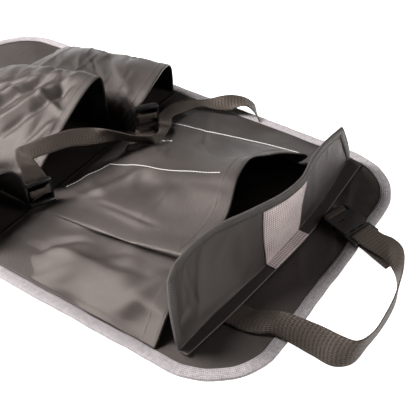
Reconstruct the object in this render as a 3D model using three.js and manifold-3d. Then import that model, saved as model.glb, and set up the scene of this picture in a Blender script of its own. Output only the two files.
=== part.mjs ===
// Car seat organizer, lying on its back. Millimetres, +Z up from the table.
// -Y is the headrest end, +X the far side. The origin is the middle of the panel's back face.
import * as THREE from 'three';
import { mergeVertices } from 'three/addons/utils/BufferGeometryUtils.js';
import Module from 'manifold-3d';

const wasm = await Module();
wasm.setup();

// Fits and thicknesses
const clearance = 0.3;
const panelThickness = 2;
const clothThickness = 1;
const hemThickness = 2;
const tapeThickness = 0.9;
const webbingThickness = 1.2;
const patchThickness = 0.7;
const threadThickness = 0.9;

// Panel, laid out from the headrest end to the foot
const panelWidth = 400;
const headMargin = 100;
const upperPocketLength = 243;
const lowerPocketLength = 227;
const footMargin = 80;
const panelCorner = 82;
const edgeTapeWidth = 13;

// Upper pocket
const pocketRise = 67;
const pleatOffset = 120;
const hemWidth = 20;
const seamThreadWidth = 2;

// Lid flap
const lidHeight = 83;
const lidThickness = 1.6;
const lidTapeWidth = 10;
const patchWidth = 66;

// Lower pockets
const bottlePocketWidth = 106;
const bottlePocketLength = 190;
const bottlePocketHeight = 55;
const centrePocketHeight = 88;
const pocketGap = 6;

// Straps, sliders and buckle
const headrestWebbing = 30;
const sideWebbing = 25;
const bucklePlay = 0.4;
const buckleHeight = 9;
const buckleWall = 1.8;
const socketLength = 33;
const plugBaseLength = 17;
const barThickness = 3.2;
const sliderHeight = 24;

const panelLength = headMargin + upperPocketLength + lowerPocketLength + footMargin;
const headEnd = -panelLength / 2;
const divide = headEnd + headMargin + upperPocketLength;
const pocketFoot = divide + lowerPocketLength;
const faceHalfWidth = panelWidth / 2 - edgeTapeWidth - clearance;
const clothBase = panelThickness + clearance + clothThickness / 2;

const v3 = (x, y, z) => new THREE.Vector3(x, y, z);
const mix = (a, b, t) => a + (b - a) * t;

// The panel's edge is thinned from below, to let the tape's lower leg lie flush with its back.
function panelEdge() {
  return panelThickness - tapeThickness - clearance;
}

// Piecewise linear or smooth value through sorted [x, value] pairs
function profileValue(pairs, x) {
  const last = pairs.length - 1;
  if (x <= pairs[0][0]) return pairs[0][1];
  if (x >= pairs[last][0]) return pairs[last][1];
  const i = pairs.findIndex((pair) => pair[0] > x) - 1;
  const t = (x - pairs[i][0]) / (pairs[i + 1][0] - pairs[i][0]);
  return mix(pairs[i][1], pairs[i + 1][1], t * t * (3 - 2 * t));
}

function material(color, roughness, metalness = 0) {
  return new THREE.MeshStandardMaterial({ color, roughness, metalness });
}

const finish = {
  cloth: () => material(0x4a4440, 0.75),
  edgeTape: () => material(0xb8acac, 0.85),
  lidTape: () => material(0x3a3735, 0.8),
  patch: () => material(0x9a8e8e, 0.8),
  webbing: () => material(0x453f39, 0.85),
  plastic: () => material(0x1b1b1c, 0.45),
  thread: () => material(0xd8d2c6, 0.9),
};

// Closed geometry from shared vertices, turned so that its faces point out
function closedGeometry(positions, index) {
  let volume = 0;
  const a = new THREE.Vector3();
  const b = new THREE.Vector3();
  const c = new THREE.Vector3();
  for (let i = 0; i < index.length; i += 3) {
    a.fromArray(positions, 3 * index[i]);
    b.fromArray(positions, 3 * index[i + 1]);
    c.fromArray(positions, 3 * index[i + 2]);
    volume += a.dot(b.cross(c));
  }
  if (volume < 0) index.reverse();
  const geometry = new THREE.BufferGeometry();
  geometry.setAttribute('position', new THREE.Float32BufferAttribute(positions, 3));
  geometry.setIndex(index);
  geometry.computeVertexNormals();
  return geometry;
}

// Normal at a point of a grid, from its neighbours
function gridNormal(rows, i, j) {
  const m = rows.length;
  const n = rows[0].length;
  const along = rows[Math.min(i + 1, m - 1)][j].clone().sub(rows[Math.max(i - 1, 0)][j]);
  const across = rows[i][Math.min(j + 1, n - 1)].clone().sub(rows[i][Math.max(j - 1, 0)]);
  return across.cross(along).normalize();
}

// Thick sheet around a grid of points. rows[i][j] is on the middle surface.
function sheetSolid(rows, thickness) {
  const m = rows.length;
  const n = rows[0].length;
  const thicknessAt = typeof thickness === 'function' ? thickness : () => thickness;
  const positions = [];
  for (const side of [1, -1]) {
    for (let i = 0; i < m; i++) {
      for (let j = 0; j < n; j++) {
        const normal = gridNormal(rows, i, j);
        const point = rows[i][j].clone().addScaledVector(normal, (side * thicknessAt(i, j)) / 2);
        positions.push(point.x, point.y, point.z);
      }
    }
  }
  const id = (side, i, j) => side * m * n + i * n + j;
  const index = [];
  const quad = (p, q, r, s) => index.push(p, q, r, p, r, s);
  for (let i = 0; i < m - 1; i++) {
    for (let j = 0; j < n - 1; j++) {
      quad(id(0, i, j), id(0, i, j + 1), id(0, i + 1, j + 1), id(0, i + 1, j));
      quad(id(1, i, j), id(1, i + 1, j), id(1, i + 1, j + 1), id(1, i, j + 1));
    }
  }
  for (let i = 0; i < m - 1; i++) {
    quad(id(0, i, 0), id(0, i + 1, 0), id(1, i + 1, 0), id(1, i, 0));
    quad(id(0, i, n - 1), id(1, i, n - 1), id(1, i + 1, n - 1), id(0, i + 1, n - 1));
  }
  for (let j = 0; j < n - 1; j++) {
    quad(id(0, 0, j), id(1, 0, j), id(1, 0, j + 1), id(0, 0, j + 1));
    quad(id(0, m - 1, j), id(0, m - 1, j + 1), id(1, m - 1, j + 1), id(1, m - 1, j));
  }
  return closedGeometry(positions, index);
}

// Section swept through stations of {point, inward, normal}. section holds [inward, normal] pairs.
function sweepSolid(stations, section, isRing) {
  const positions = [];
  for (const { point, inward, normal } of stations) {
    for (const [i, n] of section) {
      const p = point.clone().addScaledVector(inward, i).addScaledVector(normal, n);
      positions.push(p.x, p.y, p.z);
    }
  }
  const count = section.length;
  const index = [];
  const spans = isRing ? stations.length : stations.length - 1;
  for (let s = 0; s < spans; s++) {
    const here = s * count;
    const next = ((s + 1) % stations.length) * count;
    for (let k = 0; k < count; k++) {
      const l = (k + 1) % count;
      index.push(here + k, here + l, next + l, here + k, next + l, next + k);
    }
  }
  if (!isRing) {
    const faces = THREE.ShapeUtils.triangulateShape(section.map(([i, n]) => new THREE.Vector2(i, n)), []);
    const last = (stations.length - 1) * count;
    const isClockwise = THREE.ShapeUtils.isClockWise(section.map(([i, n]) => new THREE.Vector2(i, n)));
    for (const [a, b, c] of faces) {
      const [first, second] = isClockwise ? [b, c] : [c, b];
      index.push(a, first, second);
      index.push(last + a, last + second, last + first);
    }
  }
  return closedGeometry(positions, index);
}

// U shaped section of a tape folded over an edge of the given thickness
function foldedTapeSection(edgeThickness, legWidth) {
  const inner = edgeThickness / 2 + clearance;
  const outer = inner + tapeThickness;
  return [
    [-clearance - tapeThickness, -outer * 0.7],
    [-clearance - tapeThickness * 0.4, -outer],
    [legWidth, -outer],
    [legWidth, -inner],
    [-clearance, -inner],
    [-clearance, inner],
    [legWidth, inner],
    [legWidth, outer],
    [-clearance - tapeThickness * 0.4, outer],
    [-clearance - tapeThickness, outer * 0.7],
  ];
}

// Webbing between two edge curves through hand placed points
function strapSolid(edgeA, edgeB, stepsPerSpan = 3) {
  const curveA = new THREE.CatmullRomCurve3(edgeA);
  const curveB = new THREE.CatmullRomCurve3(edgeB);
  const count = (edgeA.length - 1) * stepsPerSpan;
  const rows = [];
  for (let i = 0; i <= count; i++) {
    const a = curveA.getPoint(i / count);
    const b = curveB.getPoint(i / count);
    rows.push([a, a.clone().lerp(b, 0.5), b]);
  }
  return sheetSolid(rows, webbingThickness);
}

function toManifold(geometry) {
  const bare = geometry.clone();
  bare.deleteAttribute('normal');
  bare.deleteAttribute('uv');
  const merged = mergeVertices(bare);
  const mesh = new wasm.Mesh({
    numProp: 3,
    vertProperties: merged.attributes.position.array,
    triVerts: new Uint32Array(merged.index.array),
  });
  return new wasm.Manifold(mesh);
}

function fromManifold(manifold) {
  const mesh = manifold.getMesh();
  const geometry = new THREE.BufferGeometry();
  geometry.setAttribute('position', new THREE.BufferAttribute(new Float32Array(mesh.vertProperties), 3));
  geometry.setIndex(new THREE.BufferAttribute(new Uint32Array(mesh.triVerts), 1));
  geometry.computeVertexNormals();
  return geometry;
}

function roundedRectangle(width, length, radius) {
  const shape = new THREE.Shape();
  const x = width / 2;
  const y = length / 2;
  const quarter = Math.PI / 2;
  shape.moveTo(-x + radius, -y);
  shape.lineTo(x - radius, -y);
  shape.absarc(x - radius, -y + radius, radius, -quarter, 0);
  shape.absarc(x - radius, y - radius, radius, 0, quarter);
  shape.absarc(-x + radius, y - radius, radius, quarter, 2 * quarter);
  shape.absarc(-x + radius, -y + radius, radius, 2 * quarter, 3 * quarter);
  shape.closePath();
  return shape;
}

function plate(shape, low, high, curveSegments = 10) {
  const geometry = new THREE.ExtrudeGeometry(shape, {
    depth: high - low,
    bevelEnabled: false,
    curveSegments,
  });
  return geometry.translate(0, 0, low);
}

const group = new THREE.Group();

function addPiece(name, geometry, finishOf) {
  const mesh = new THREE.Mesh(geometry, finishOf());
  mesh.name = name;
  group.add(mesh);
  return mesh;
}

// Backing panel and its edge tape
function backPanel() {
  const lip = tapeThickness + clearance;
  const full = plate(
    roundedRectangle(panelWidth - 2 * lip, panelLength - 2 * lip, panelCorner - lip),
    panelThickness - panelEdge(),
    panelThickness,
  );
  const inset = edgeTapeWidth + clearance;
  const raised = plate(
    roundedRectangle(panelWidth - 2 * inset, panelLength - 2 * inset, panelCorner - inset),
    0,
    panelThickness,
  );
  return fromManifold(toManifold(full).add(toManifold(raised)));
}

function edgeBinding() {
  const lip = tapeThickness + clearance;
  const outline = roundedRectangle(panelWidth - 2 * lip, panelLength - 2 * lip, panelCorner - lip);
  const points = outline.getPoints(10);
  points.pop();
  const middle = panelThickness - panelEdge() / 2;
  const radius = panelCorner - lip;
  const coreX = panelWidth / 2 - lip - radius;
  const coreY = panelLength / 2 - lip - radius;
  const stations = points.map((p) => {
    const core = new THREE.Vector2(
      THREE.MathUtils.clamp(p.x, -coreX, coreX),
      THREE.MathUtils.clamp(p.y, -coreY, coreY),
    );
    const inward = core.sub(p).normalize();
    return { point: v3(p.x, p.y, middle), inward: v3(inward.x, inward.y, 0), normal: v3(0, 0, 1) };
  });
  return sweepSolid(stations, foldedTapeSection(panelEdge(), edgeTapeWidth - tapeThickness), true);
}

// Upper pocket: across is 0 on the near side, 1 on the far side; along is 0 at the seam, 1 at the mouth
const pocketSide = faceHalfWidth - hemThickness / 2;
const hemLift = (hemThickness - clothThickness) / 2;
const nearPleat = -pleatOffset;
const farPleat = pleatOffset + 5;
const pocketSection = [
  [-pocketSide, 0],
  [-pocketSide + 7, 0.07],
  [-pocketSide + 24, 0.27],
  [nearPleat - 24, 0.36],
  [nearPleat - 4, 0.44],
  [nearPleat + 14, 0.5],
  [nearPleat + 21, 0.55],
  [nearPleat + 22, 0.6],
  [nearPleat + 18, 0.68],
  [nearPleat + 12, 0.76],
  [nearPleat + 12, 0.81],
  [nearPleat + 18, 0.83],
  [nearPleat + 42, 0.85],
  [-50, 0.89],
  [-18, 0.96],
  [12, 1],
  [40, 0.95],
  [62, 0.84],
  [84, 0.66],
  [farPleat - 22, 0.55],
  [farPleat - 6, 0.49],
  [farPleat, 0.46],
  [farPleat + 2, 0.42],
  [farPleat - 2, 0.35],
  [farPleat - 5, 0.29],
  [farPleat - 1, 0.24],
  [farPleat + 9, 0.2],
  [farPleat + 28, 0.13],
  [pocketSide - 10, 0.04],
  [pocketSide, 0],
];
const mouthReach = [
  [-pocketSide, 3],
  [nearPleat + 12, 12],
  [-46, 12],
  [12, 33],
  [60, 42],
  [84, 40],
  [farPleat - 15, 28],
  [farPleat, 10],
  [pocketSide, 3],
];

function upperPocketPoint(sectionPoint, along, lift = 0) {
  const [x, rise] = sectionPoint;
  // The pleats open out towards the bottom seam, where the sheet lies flat.
  const evenX = sheetFraction(sectionPoint) * 2 * pocketSide - pocketSide;
  const spread = mix(evenX, x, Math.min(1, 0.25 + along * 1.2));
  const mouth = headEnd + headMargin + profileValue(mouthReach, x);
  const swell = along ** 1.1;
  return v3(spread, mix(divide, mouth, along), clothBase + lift + rise * swell * pocketRise);
}

function sheetFraction(sectionPoint) {
  const at = pocketSection.indexOf(sectionPoint);
  if (at < 0) return (sectionPoint[0] + pocketSide) / (2 * pocketSide);
  let before = 0;
  let total = 0;
  for (let i = 1; i < pocketSection.length; i++) {
    const step = Math.hypot(
      pocketSection[i][0] - pocketSection[i - 1][0],
      (pocketSection[i][1] - pocketSection[i - 1][1]) * pocketRise,
    );
    total += step;
    if (i <= at) before += step;
  }
  return before / total;
}

const hemRows = 2;
const bodyRows = 9;
const hemStart = 1 - hemWidth / upperPocketLength;
const pocketRows = Array.from({ length: bodyRows + hemRows + 1 }, (_, i) => {
  const along = i <= bodyRows ? (hemStart * i) / bodyRows : mix(hemStart, 1, (i - bodyRows) / hemRows);
  return pocketSection.map((p) => upperPocketPoint(p, along, i > bodyRows ? hemLift : 0));
});

// Hood shaped lower pocket. It is open at its mouth, and its other edges meet the panel.
// A small bulge makes a side's corner square, a large one makes it round.
function pocketHood({
  nearX, farX, mouthY, footY, heightAt, bulge, farBulge = bulge, columns = 16, lengthRows = 9,
}) {
  const rows = [];
  for (let i = 0; i <= lengthRows; i++) {
    const turn = ((i / lengthRows) ** 1.2 * Math.PI) / 2;
    const along = Math.sin(turn) ** 0.9;
    const endRise = Math.max(0, Math.cos(turn)) ** bulge;
    const row = [];
    for (let j = 0; j <= columns; j++) {
      const angle = (Math.PI * j) / columns;
      const across = (1 - Math.sign(Math.cos(angle)) * Math.abs(Math.cos(angle)) ** 0.75) / 2;
      const rise = Math.abs(Math.sin(angle)) ** mix(bulge, farBulge, across);
      const x = mix(nearX, farX, across);
      const y = mix(mouthY(across, rise), footY, along);
      const lift = i < hemRows ? hemLift : 0;
      row.push(v3(x, y, clothBase + lift + heightAt(across, along) * rise * endRise));
    }
    rows.push(row);
  }
  return sheetSolid(rows, (i) => (i < hemRows ? hemThickness : clothThickness));
}

const bottleInnerX = faceHalfWidth - bottlePocketWidth;

function farBottlePocket() {
  return pocketHood({
    nearX: bottleInnerX - clothThickness,
    farX: pocketSide,
    mouthY: (across, rise) => divide + 3 - rise * mix(31, 0, across),
    footY: divide + bottlePocketLength,
    heightAt: (across, along) => mix(bottlePocketHeight, bottlePocketHeight * mix(0.75, 0.45, across), along),
    bulge: 0.35,
  });
}

function nearBottlePocket() {
  return pocketHood({
    nearX: -pocketSide,
    farX: -bottleInnerX - 2.5 * pocketGap,
    mouthY: (across, rise) => divide + 6 + rise * 8,
    footY: divide + bottlePocketLength,
    heightAt: (across, along) => mix(bottlePocketHeight * 1.1, bottlePocketHeight * 0.6, along),
    bulge: 0.45,
  });
}

function centrePocket() {
  return pocketHood({
    nearX: -bottleInnerX + pocketGap,
    farX: bottleInnerX - pocketGap,
    mouthY: (across, rise) => divide + 24 - rise * mix(18, -6, across),
    footY: pocketFoot,
    heightAt: (across, along) => {
      const atMouth = mix(0.42, 1.03, across);
      const atFoot = mix(0.55, 0.62, across);
      return centrePocketHeight * mix(atMouth, atFoot, along);
    },
    bulge: 0.5,
    farBulge: 0.22,
    columns: 18,
    lengthRows: 11,
  });
}

// Lid flap: a flat strip along its seam, a crease, and a standing wall.
// Values are [x, distance from head end].
const lidSeamLine = [
  [-180, 72],
  [-110, 64],
  [-35, 58],
  [29, 54],
  [100, 56],
  [180, 60],
];
const lidCreaseLine = [
  [-175, 82],
  [-139, 81],
  [-34, 71],
  [38, 69],
  [87, 69],
  [180, 79],
];
const lidTopLine = [
  [-169, 95],
  [-154, 101],
  [-130, 104],
  [-107, 103],
  [-89, 100],
  [-73, 95],
  [-53, 86],
  [-33, 78],
  [-11, 70],
  [8, 66],
  [30, 65],
  [56, 70],
  [72, 72],
  [94, 73],
  [128, 70],
];
const lidFoot = [-176, 181];
const lidTop = [-169, 128];
const lidBase = panelThickness + webbingThickness + 2 * clearance + lidThickness / 2;
const lidTapeRow = 1 - (lidTapeWidth + 1) / lidHeight;
const lidStripUps = [-1, -0.6, -0.25];
const lidWallUps = [0.03, 0.1, 0.2, 0.35, 0.5, 0.65, 0.77, lidTapeRow, 1];
const firstTapeRow = 4;
const patchSide = [patchWidth / 2 + 1, 1 - patchWidth / 2];
const lidFarColumns = 9;
const patchColumns = 5;
const lidNearColumns = 12;

// up runs from -1 at the seam to 0 at the crease and 1 at the top edge
function lidPoint(x, up) {
  const crease = headEnd + profileValue(lidCreaseLine, x);
  if (up < 0) {
    const seam = headEnd + profileValue(lidSeamLine, x);
    return v3(x, mix(crease, seam, -up), lidBase);
  }
  const top = headEnd + profileValue(lidTopLine, x);
  return v3(x, mix(crease, top, Math.sin((up * Math.PI) / 2)), lidBase + up * lidHeight);
}

// From the far edge to the near edge, with the patch's sides on two of the columns
function lidRow(up) {
  const [nearEdge, farEdge] = lidFoot.map((foot, k) => mix(foot, lidTop[k], Math.max(0, up)));
  const spans = [
    [farEdge, patchSide[0], lidFarColumns],
    [patchSide[0], patchSide[1], patchColumns],
    [patchSide[1], nearEdge, lidNearColumns],
  ];
  const xs = spans.flatMap(([from, to, count]) => (
    Array.from({ length: count }, (_, j) => mix(from, to, j / count))
  ));
  return [...xs, nearEdge].map((x) => lidPoint(x, up));
}

const lidRows = [...lidStripUps, ...lidWallUps].map(lidRow);

// Tape folded over the wall's two side edges and its top edge, mitred at the corners
function lidFlapBinding() {
  const topRow = lidRows.length - 1;
  const lastColumn = lidRows[0].length - 1;
  const sideRows = Array.from({ length: topRow - firstTapeRow }, (_, k) => firstTapeRow + k);
  const path = [
    ...sideRows.map((i) => [i, lastColumn]),
    ...lidRows[topRow].map((_, j) => [topRow, lastColumn - j]),
    ...sideRows.toReversed().map((i) => [i, 0]),
  ];
  const at = (k) => lidRows[path[k][0]][path[k][1]];
  const stations = path.map(([i, j], k) => {
    const normal = gridNormal(lidRows, i, j);
    const before = at(Math.max(k, 1)).clone().sub(at(Math.max(k, 1) - 1));
    const after = at(Math.min(k + 1, path.length - 1)).clone().sub(at(Math.min(k, path.length - 2)));
    const [first, second] = [before, after].map((step) => normal.clone().cross(step).normalize());
    const inward = first.clone().add(second).divideScalar(1 + first.dot(second));
    return { point: lidRows[i][j], inward, normal };
  });
  const section = foldedTapeSection(lidThickness + 2 * clearance, lidTapeWidth - tapeThickness);
  return sweepSolid(stations, section, false);
}

// Bare patch over the strip, the crease and the wall's face, up to the edge tape
function lidPatch() {
  const lift = lidThickness / 2 + clearance + patchThickness / 2;
  const rows = lidRows.slice(0, -1).map((row, i) =>
    row
      .map((point, j) => point.clone().addScaledVector(gridNormal(lidRows, i, j), -lift))
      .slice(lidFarColumns, lidFarColumns + patchColumns + 1),
  );
  return sheetSolid(rows, patchThickness);
}

// White seams on the upper pocket. A stop is [place along the section, share of the length].
function pocketAt(place, share) {
  const row = Math.min(bodyRows - 1, Math.floor((share / hemStart) * bodyRows));
  const column = Math.floor(place);
  const down = (share / hemStart) * bodyRows - row;
  const across = place - column;
  const [low, high] = [pocketRows[row], pocketRows[row + 1]];
  const start = low[column].clone().lerp(low[column + 1], across);
  const end = high[column].clone().lerp(high[column + 1], across);
  const point = start.clone().lerp(end, down);
  const side = low[column + 1].clone().lerp(high[column + 1], down);
  side.sub(low[column].clone().lerp(high[column], down));
  const normal = side.cross(end.sub(start)).normalize();
  return { point, normal: normal.z < 0 ? normal.negate() : normal };
}

function seamThread(stops, steps) {
  const lift = clothThickness / 2 + 2 * clearance + threadThickness / 2;
  const points = stops.slice(1).flatMap((stop, k) =>
    Array.from({ length: steps }, (_, i) => stops[k].map((value, c) => mix(value, stop[c], i / steps))),
  );
  points.push(stops[stops.length - 1]);
  const places = points.map(([place, share]) => pocketAt(place, share));
  const centre = places.map(({ point, normal }) => point.clone().addScaledVector(normal, lift));
  const rows = centre.map((point, k) => {
    const ahead = centre[Math.min(k + 1, centre.length - 1)].clone().sub(centre[Math.max(k - 1, 0)]);
    const side = ahead.cross(places[k].normal).normalize().multiplyScalar(seamThreadWidth / 2);
    return [point.clone().add(side), point, point.clone().sub(side)];
  });
  return sheetSolid(rows, threadThickness);
}

const seamMiddleStops = [
  [13, 0.05],
  [15, 0.15],
  [15.3, 0.88],
];
const seamFarStops = [
  [20.4, 0.17],
  [20.4, 0.9],
];
const seamShortStops = [
  [17.4, 0.23],
  [17.7, 0.36],
];

// Side release buckle: along runs from the socket's anchor end towards the strap's loop
const buckleAngle = THREE.MathUtils.degToRad(-18);
const buckleAnchor = [78, 45];
const buckleBase = panelThickness + tapeThickness + 2 * clearance;
const buckleWidth = headrestWebbing + 2 * bucklePlay + 2 * barThickness;
const socketStart = 9;
const plugThickness = buckleHeight - 2 * buckleWall - 2 * bucklePlay;
const plugStart = socketLength + bucklePlay;
const slotLength = 4;
const slotWidth = headrestWebbing + 2 * bucklePlay;
const plugSlotStart = plugStart + barThickness;
const middleBarStart = plugSlotStart + slotLength;

function bucklePoint(along, across, up) {
  const c = Math.cos(buckleAngle);
  const s = Math.sin(buckleAngle);
  const x = buckleAnchor[0] + along * s + across * c;
  const y = headEnd + buckleAnchor[1] - along * c + across * s;
  return v3(x, y, buckleBase + buckleHeight / 2 + up);
}

function placeOnBuckle(geometry) {
  const origin = bucklePoint(0, 0, 0);
  const basis = new THREE.Matrix4().makeBasis(
    bucklePoint(1, 0, 0).sub(origin),
    bucklePoint(0, 1, 0).sub(origin),
    bucklePoint(0, 0, 1).sub(origin),
  );
  return geometry.applyMatrix4(basis.setPosition(origin));
}

function box(alongRange, acrossRange, upRange) {
  const geometry = new THREE.BoxGeometry(
    alongRange[1] - alongRange[0],
    acrossRange[1] - acrossRange[0],
    upRange[1] - upRange[0],
  );
  const centre = [alongRange, acrossRange, upRange].map(([low, high]) => (low + high) / 2);
  return toManifold(geometry.translate(...centre));
}

function roundedBlock(start, length, width, height, radius) {
  const geometry = plate(roundedRectangle(length, width, radius), -height / 2, height / 2, 4);
  return toManifold(geometry.translate(start + length / 2, 0, 0));
}

function buckleSocket() {
  const halfWidth = buckleWidth / 2;
  const halfHeight = buckleHeight / 2;
  const innerHalf = halfHeight - buckleWall;
  let body = roundedBlock(0, socketLength, buckleWidth, buckleHeight, 3);
  body = body.subtract(
    box(
      [socketStart, socketLength + 1],
      [-halfWidth + buckleWall, halfWidth - buckleWall],
      [-innerHalf, innerHalf],
    ),
  );
  for (const side of [-1, 1]) {
    const window = box([15, 25], [halfWidth - 4, halfWidth + 1], [-innerHalf, innerHalf]);
    body = body.subtract(side > 0 ? window : window.mirror([0, 1, 0]));
  }
  body = body.subtract(
    box([barThickness, barThickness + slotLength], [-slotWidth / 2, slotWidth / 2], [-10, 10]),
  );
  for (const [low, high] of [[barThickness / 2, halfHeight + 1], [-halfHeight - 1, -barThickness / 2]]) {
    body = body.subtract(box([-1, barThickness + slotLength], [-slotWidth / 2, slotWidth / 2], [low, high]));
  }
  body = body.subtract(box([15, 16.6], [-11, -1], [0, 10]));
  return placeOnBuckle(fromManifold(body));
}

function bucklePlug() {
  const end = plugStart + plugBaseLength;
  const barSpace = end - middleBarStart - 2 * barThickness;
  let plug = roundedBlock(plugStart, plugBaseLength, buckleWidth, barThickness, 1.5);
  plug = plug.subtract(box([plugSlotStart, middleBarStart], [-slotWidth / 2, slotWidth / 2], [-10, 10]));
  plug = plug.subtract(
    box(
      [middleBarStart + barThickness, middleBarStart + barThickness + barSpace],
      [-slotWidth / 2, slotWidth / 2],
      [-10, 10],
    ),
  );
  const halfSpace = buckleWidth / 2 - buckleWall - bucklePlay;
  for (const side of [-1, 1]) {
    const outline = new THREE.Shape();
    outline.moveTo(plugStart + 0.5, side * (halfSpace - 6));
    outline.lineTo(plugStart + 0.5, side * (halfSpace - 1));
    outline.lineTo(25 - bucklePlay, side * (halfSpace - 1.5));
    outline.lineTo(25 - bucklePlay, side * (halfSpace + 1.2));
    outline.lineTo(20, side * (halfSpace + 1.2));
    outline.lineTo(14, side * (halfSpace - 3));
    outline.lineTo(14, side * (halfSpace - 5));
    outline.lineTo(18, side * (halfSpace - 5));
    outline.closePath();
    plug = plug.add(toManifold(plate(outline, -plugThickness / 2, plugThickness / 2)));
  }
  plug = plug.add(box([17, plugStart + 0.5], [-2, 2], [-plugThickness / 2, plugThickness / 2]));
  return placeOnBuckle(fromManifold(plug));
}

const barReach = barThickness / 2 + clearance + webbingThickness / 2;
const slotCentre = plugSlotStart + slotLength / 2;

// [along, up] stops of the webbing where it turns round the plug's bars, from the free tail to the loop
const plugTurn = [
  [92, -barReach - 2.5],
  [76, -barReach - 1.5],
  [60, -barReach],
  [middleBarStart + 6, -barReach],
  [middleBarStart + 1, -barReach],
  [slotCentre + 0.6, -barReach * 0.62],
  [slotCentre, 0],
  [slotCentre + 0.6, barReach * 0.62],
  [middleBarStart + 1, barReach],
  [middleBarStart + 6, barReach],
  [58, barReach + 0.5],
];

// Two edges of the loop beyond the buckle: [x, distance past the head end, z]
const loopFarEdge = [
  [70, 30, 15],
  [53, 46, 24],
  [20, 60, 28.5],
  [-10, 67, 29],
  [-42, 70, 28],
  [-72, 69, 27],
  [-86, 61, 25],
  [-88, 47, 24],
  [-88, 25, 24],
  [-90, 1, 24],
  [-90, -17, 21],
  [-89, -35, 9],
  [-90, -47, 3.6],
  [-91, -57, 2.9],
  [-92, -76, 2.9],
];
const loopNearEdge = [
  [43, 32, 7],
  [38, 46, 1],
  [24, 56, 0.8],
  [-4, 66, 0.8],
  [-35, 68, 0.8],
  [-66, 66, 0.8],
  [-96, 62, 0.8],
  [-108, 49, 0.8],
  [-108, 25, 1.4],
  [-109, -1, 5],
  [-110, -19, 4.8],
  [-116, -29, 4.2],
  [-120, -41, 3.6],
  [-121, -57, 2.9],
  [-121, -76, 2.9],
];

function headrestStrap() {
  const edge = (side, loop) => [
    ...plugTurn.map(([along, up]) => bucklePoint(along, (side * headrestWebbing) / 2, up)),
    ...loop.map(([x, past, z]) => v3(x, headEnd - past, z)),
  ];
  return strapSolid(edge(1, loopFarEdge), edge(-1, loopNearEdge), 2);
}

// Short webbing from under the lid's seam, folded round the socket's anchor bar
function buckleStrap() {
  const low = panelThickness + clearance + webbingThickness / 2 - buckleBase - buckleHeight / 2;
  const slotMiddle = barThickness + slotLength / 2;
  const stops = [
    [-24, low],
    [-16, low],
    [-10, low],
    [-6.5, low * 0.98],
    [-3, barReach * -1.6],
    [0, barReach * -1.1],
    [2.6, -barReach],
    [slotMiddle - 0.35, -barReach * 0.72],
    [slotMiddle, 0],
    [slotMiddle - 0.35, barReach * 0.72],
    [2.6, barReach],
    [-2, barReach * 0.8],
    [-6.5, -barReach * 0.5],
  ];
  const edge = (side) => stops.map(([along, up]) => bucklePoint(along, (side * headrestWebbing) / 2, up));
  return strapSolid(edge(1), edge(-1), 2);
}

// Slider: a frame with two slots, a middle bar and round grip rails on its end bars.
// The strap weaves through it, behind the rails and over the middle bar.
const sliderThickness = 2.6;
const sliderEndBar = 2.5;
const sliderRailRadius = 3.1;
const sliderRailFacets = 12;
const sliderRailInset = 1;
const sliderMiddleBar = 3;
const sliderReach = sliderThickness / 2 + clearance + webbingThickness / 2;
const sliderWeave = [
  [15, -1.05],
  [11, -1],
  [9.4, -0.92],
  [5.5, 0],
  [1.6, 0.92],
  [0, 1],
  [-1.6, 0.92],
  [-5.5, 0],
  [-9.4, -0.92],
  [-11, -1],
  [-15, -1.05],
];

function sliderPlace(centre, upward, sideways) {
  const up = upward.clone().normalize();
  const side = sideways.clone().addScaledVector(up, -sideways.dot(up)).normalize();
  const out = side.clone().cross(up);
  const point = (a, w, n) =>
    centre.clone().addScaledVector(up, a).addScaledVector(side, w).addScaledVector(out, n);
  const matrix = new THREE.Matrix4().makeBasis(side, up, out).setPosition(centre);
  return { point, matrix };
}

function slider(place, railSides) {
  const width = sideWebbing + 2 * clearance + 2 * sliderEndBar + 1;
  const shape = roundedRectangle(width, sliderHeight, 3);
  const slotHalf = sideWebbing / 2 + clearance + 0.5;
  for (const side of [-1, 1]) {
    const low = side * (sliderMiddleBar / 2);
    const high = side * (sliderHeight / 2 - sliderEndBar);
    const hole = new THREE.Path();
    hole.moveTo(-slotHalf, low);
    hole.lineTo(slotHalf, low);
    hole.lineTo(slotHalf, high);
    hole.lineTo(-slotHalf, high);
    hole.closePath();
    shape.holes.push(hole);
  }
  let body = toManifold(plate(shape, -sliderThickness / 2, sliderThickness / 2, 4));
  const railLength = width - 2 * sliderRailInset;
  const railDistance = sliderHeight / 2 - sliderEndBar + sliderRailRadius;
  for (const side of railSides) {
    const rail = new THREE.CylinderGeometry(
      sliderRailRadius, sliderRailRadius, railLength, sliderRailFacets,
    );
    rail.rotateZ(Math.PI / 2);
    rail.translate(0, side * railDistance, sliderRailRadius - sliderThickness / 2);
    body = body.add(toManifold(rail));
  }
  return fromManifold(body).applyMatrix4(place.matrix);
}

function weaveEdge(place, side) {
  return sliderWeave.map(([a, n]) => place.point(a, (side * sideWebbing) / 2, n * sliderReach));
}

// The side strap's slider hangs by the near bottle pocket, the bottle strap's by the far one.
const sideSlider = sliderPlace(v3(-88, divide - 6, 22), v3(5, 9, 36), v3(25, -11, 0));
const bottleSlider = sliderPlace(v3(81, divide - 32.5, 37.5), v3(4, 3, 36), v3(20, -15, 0));

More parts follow.
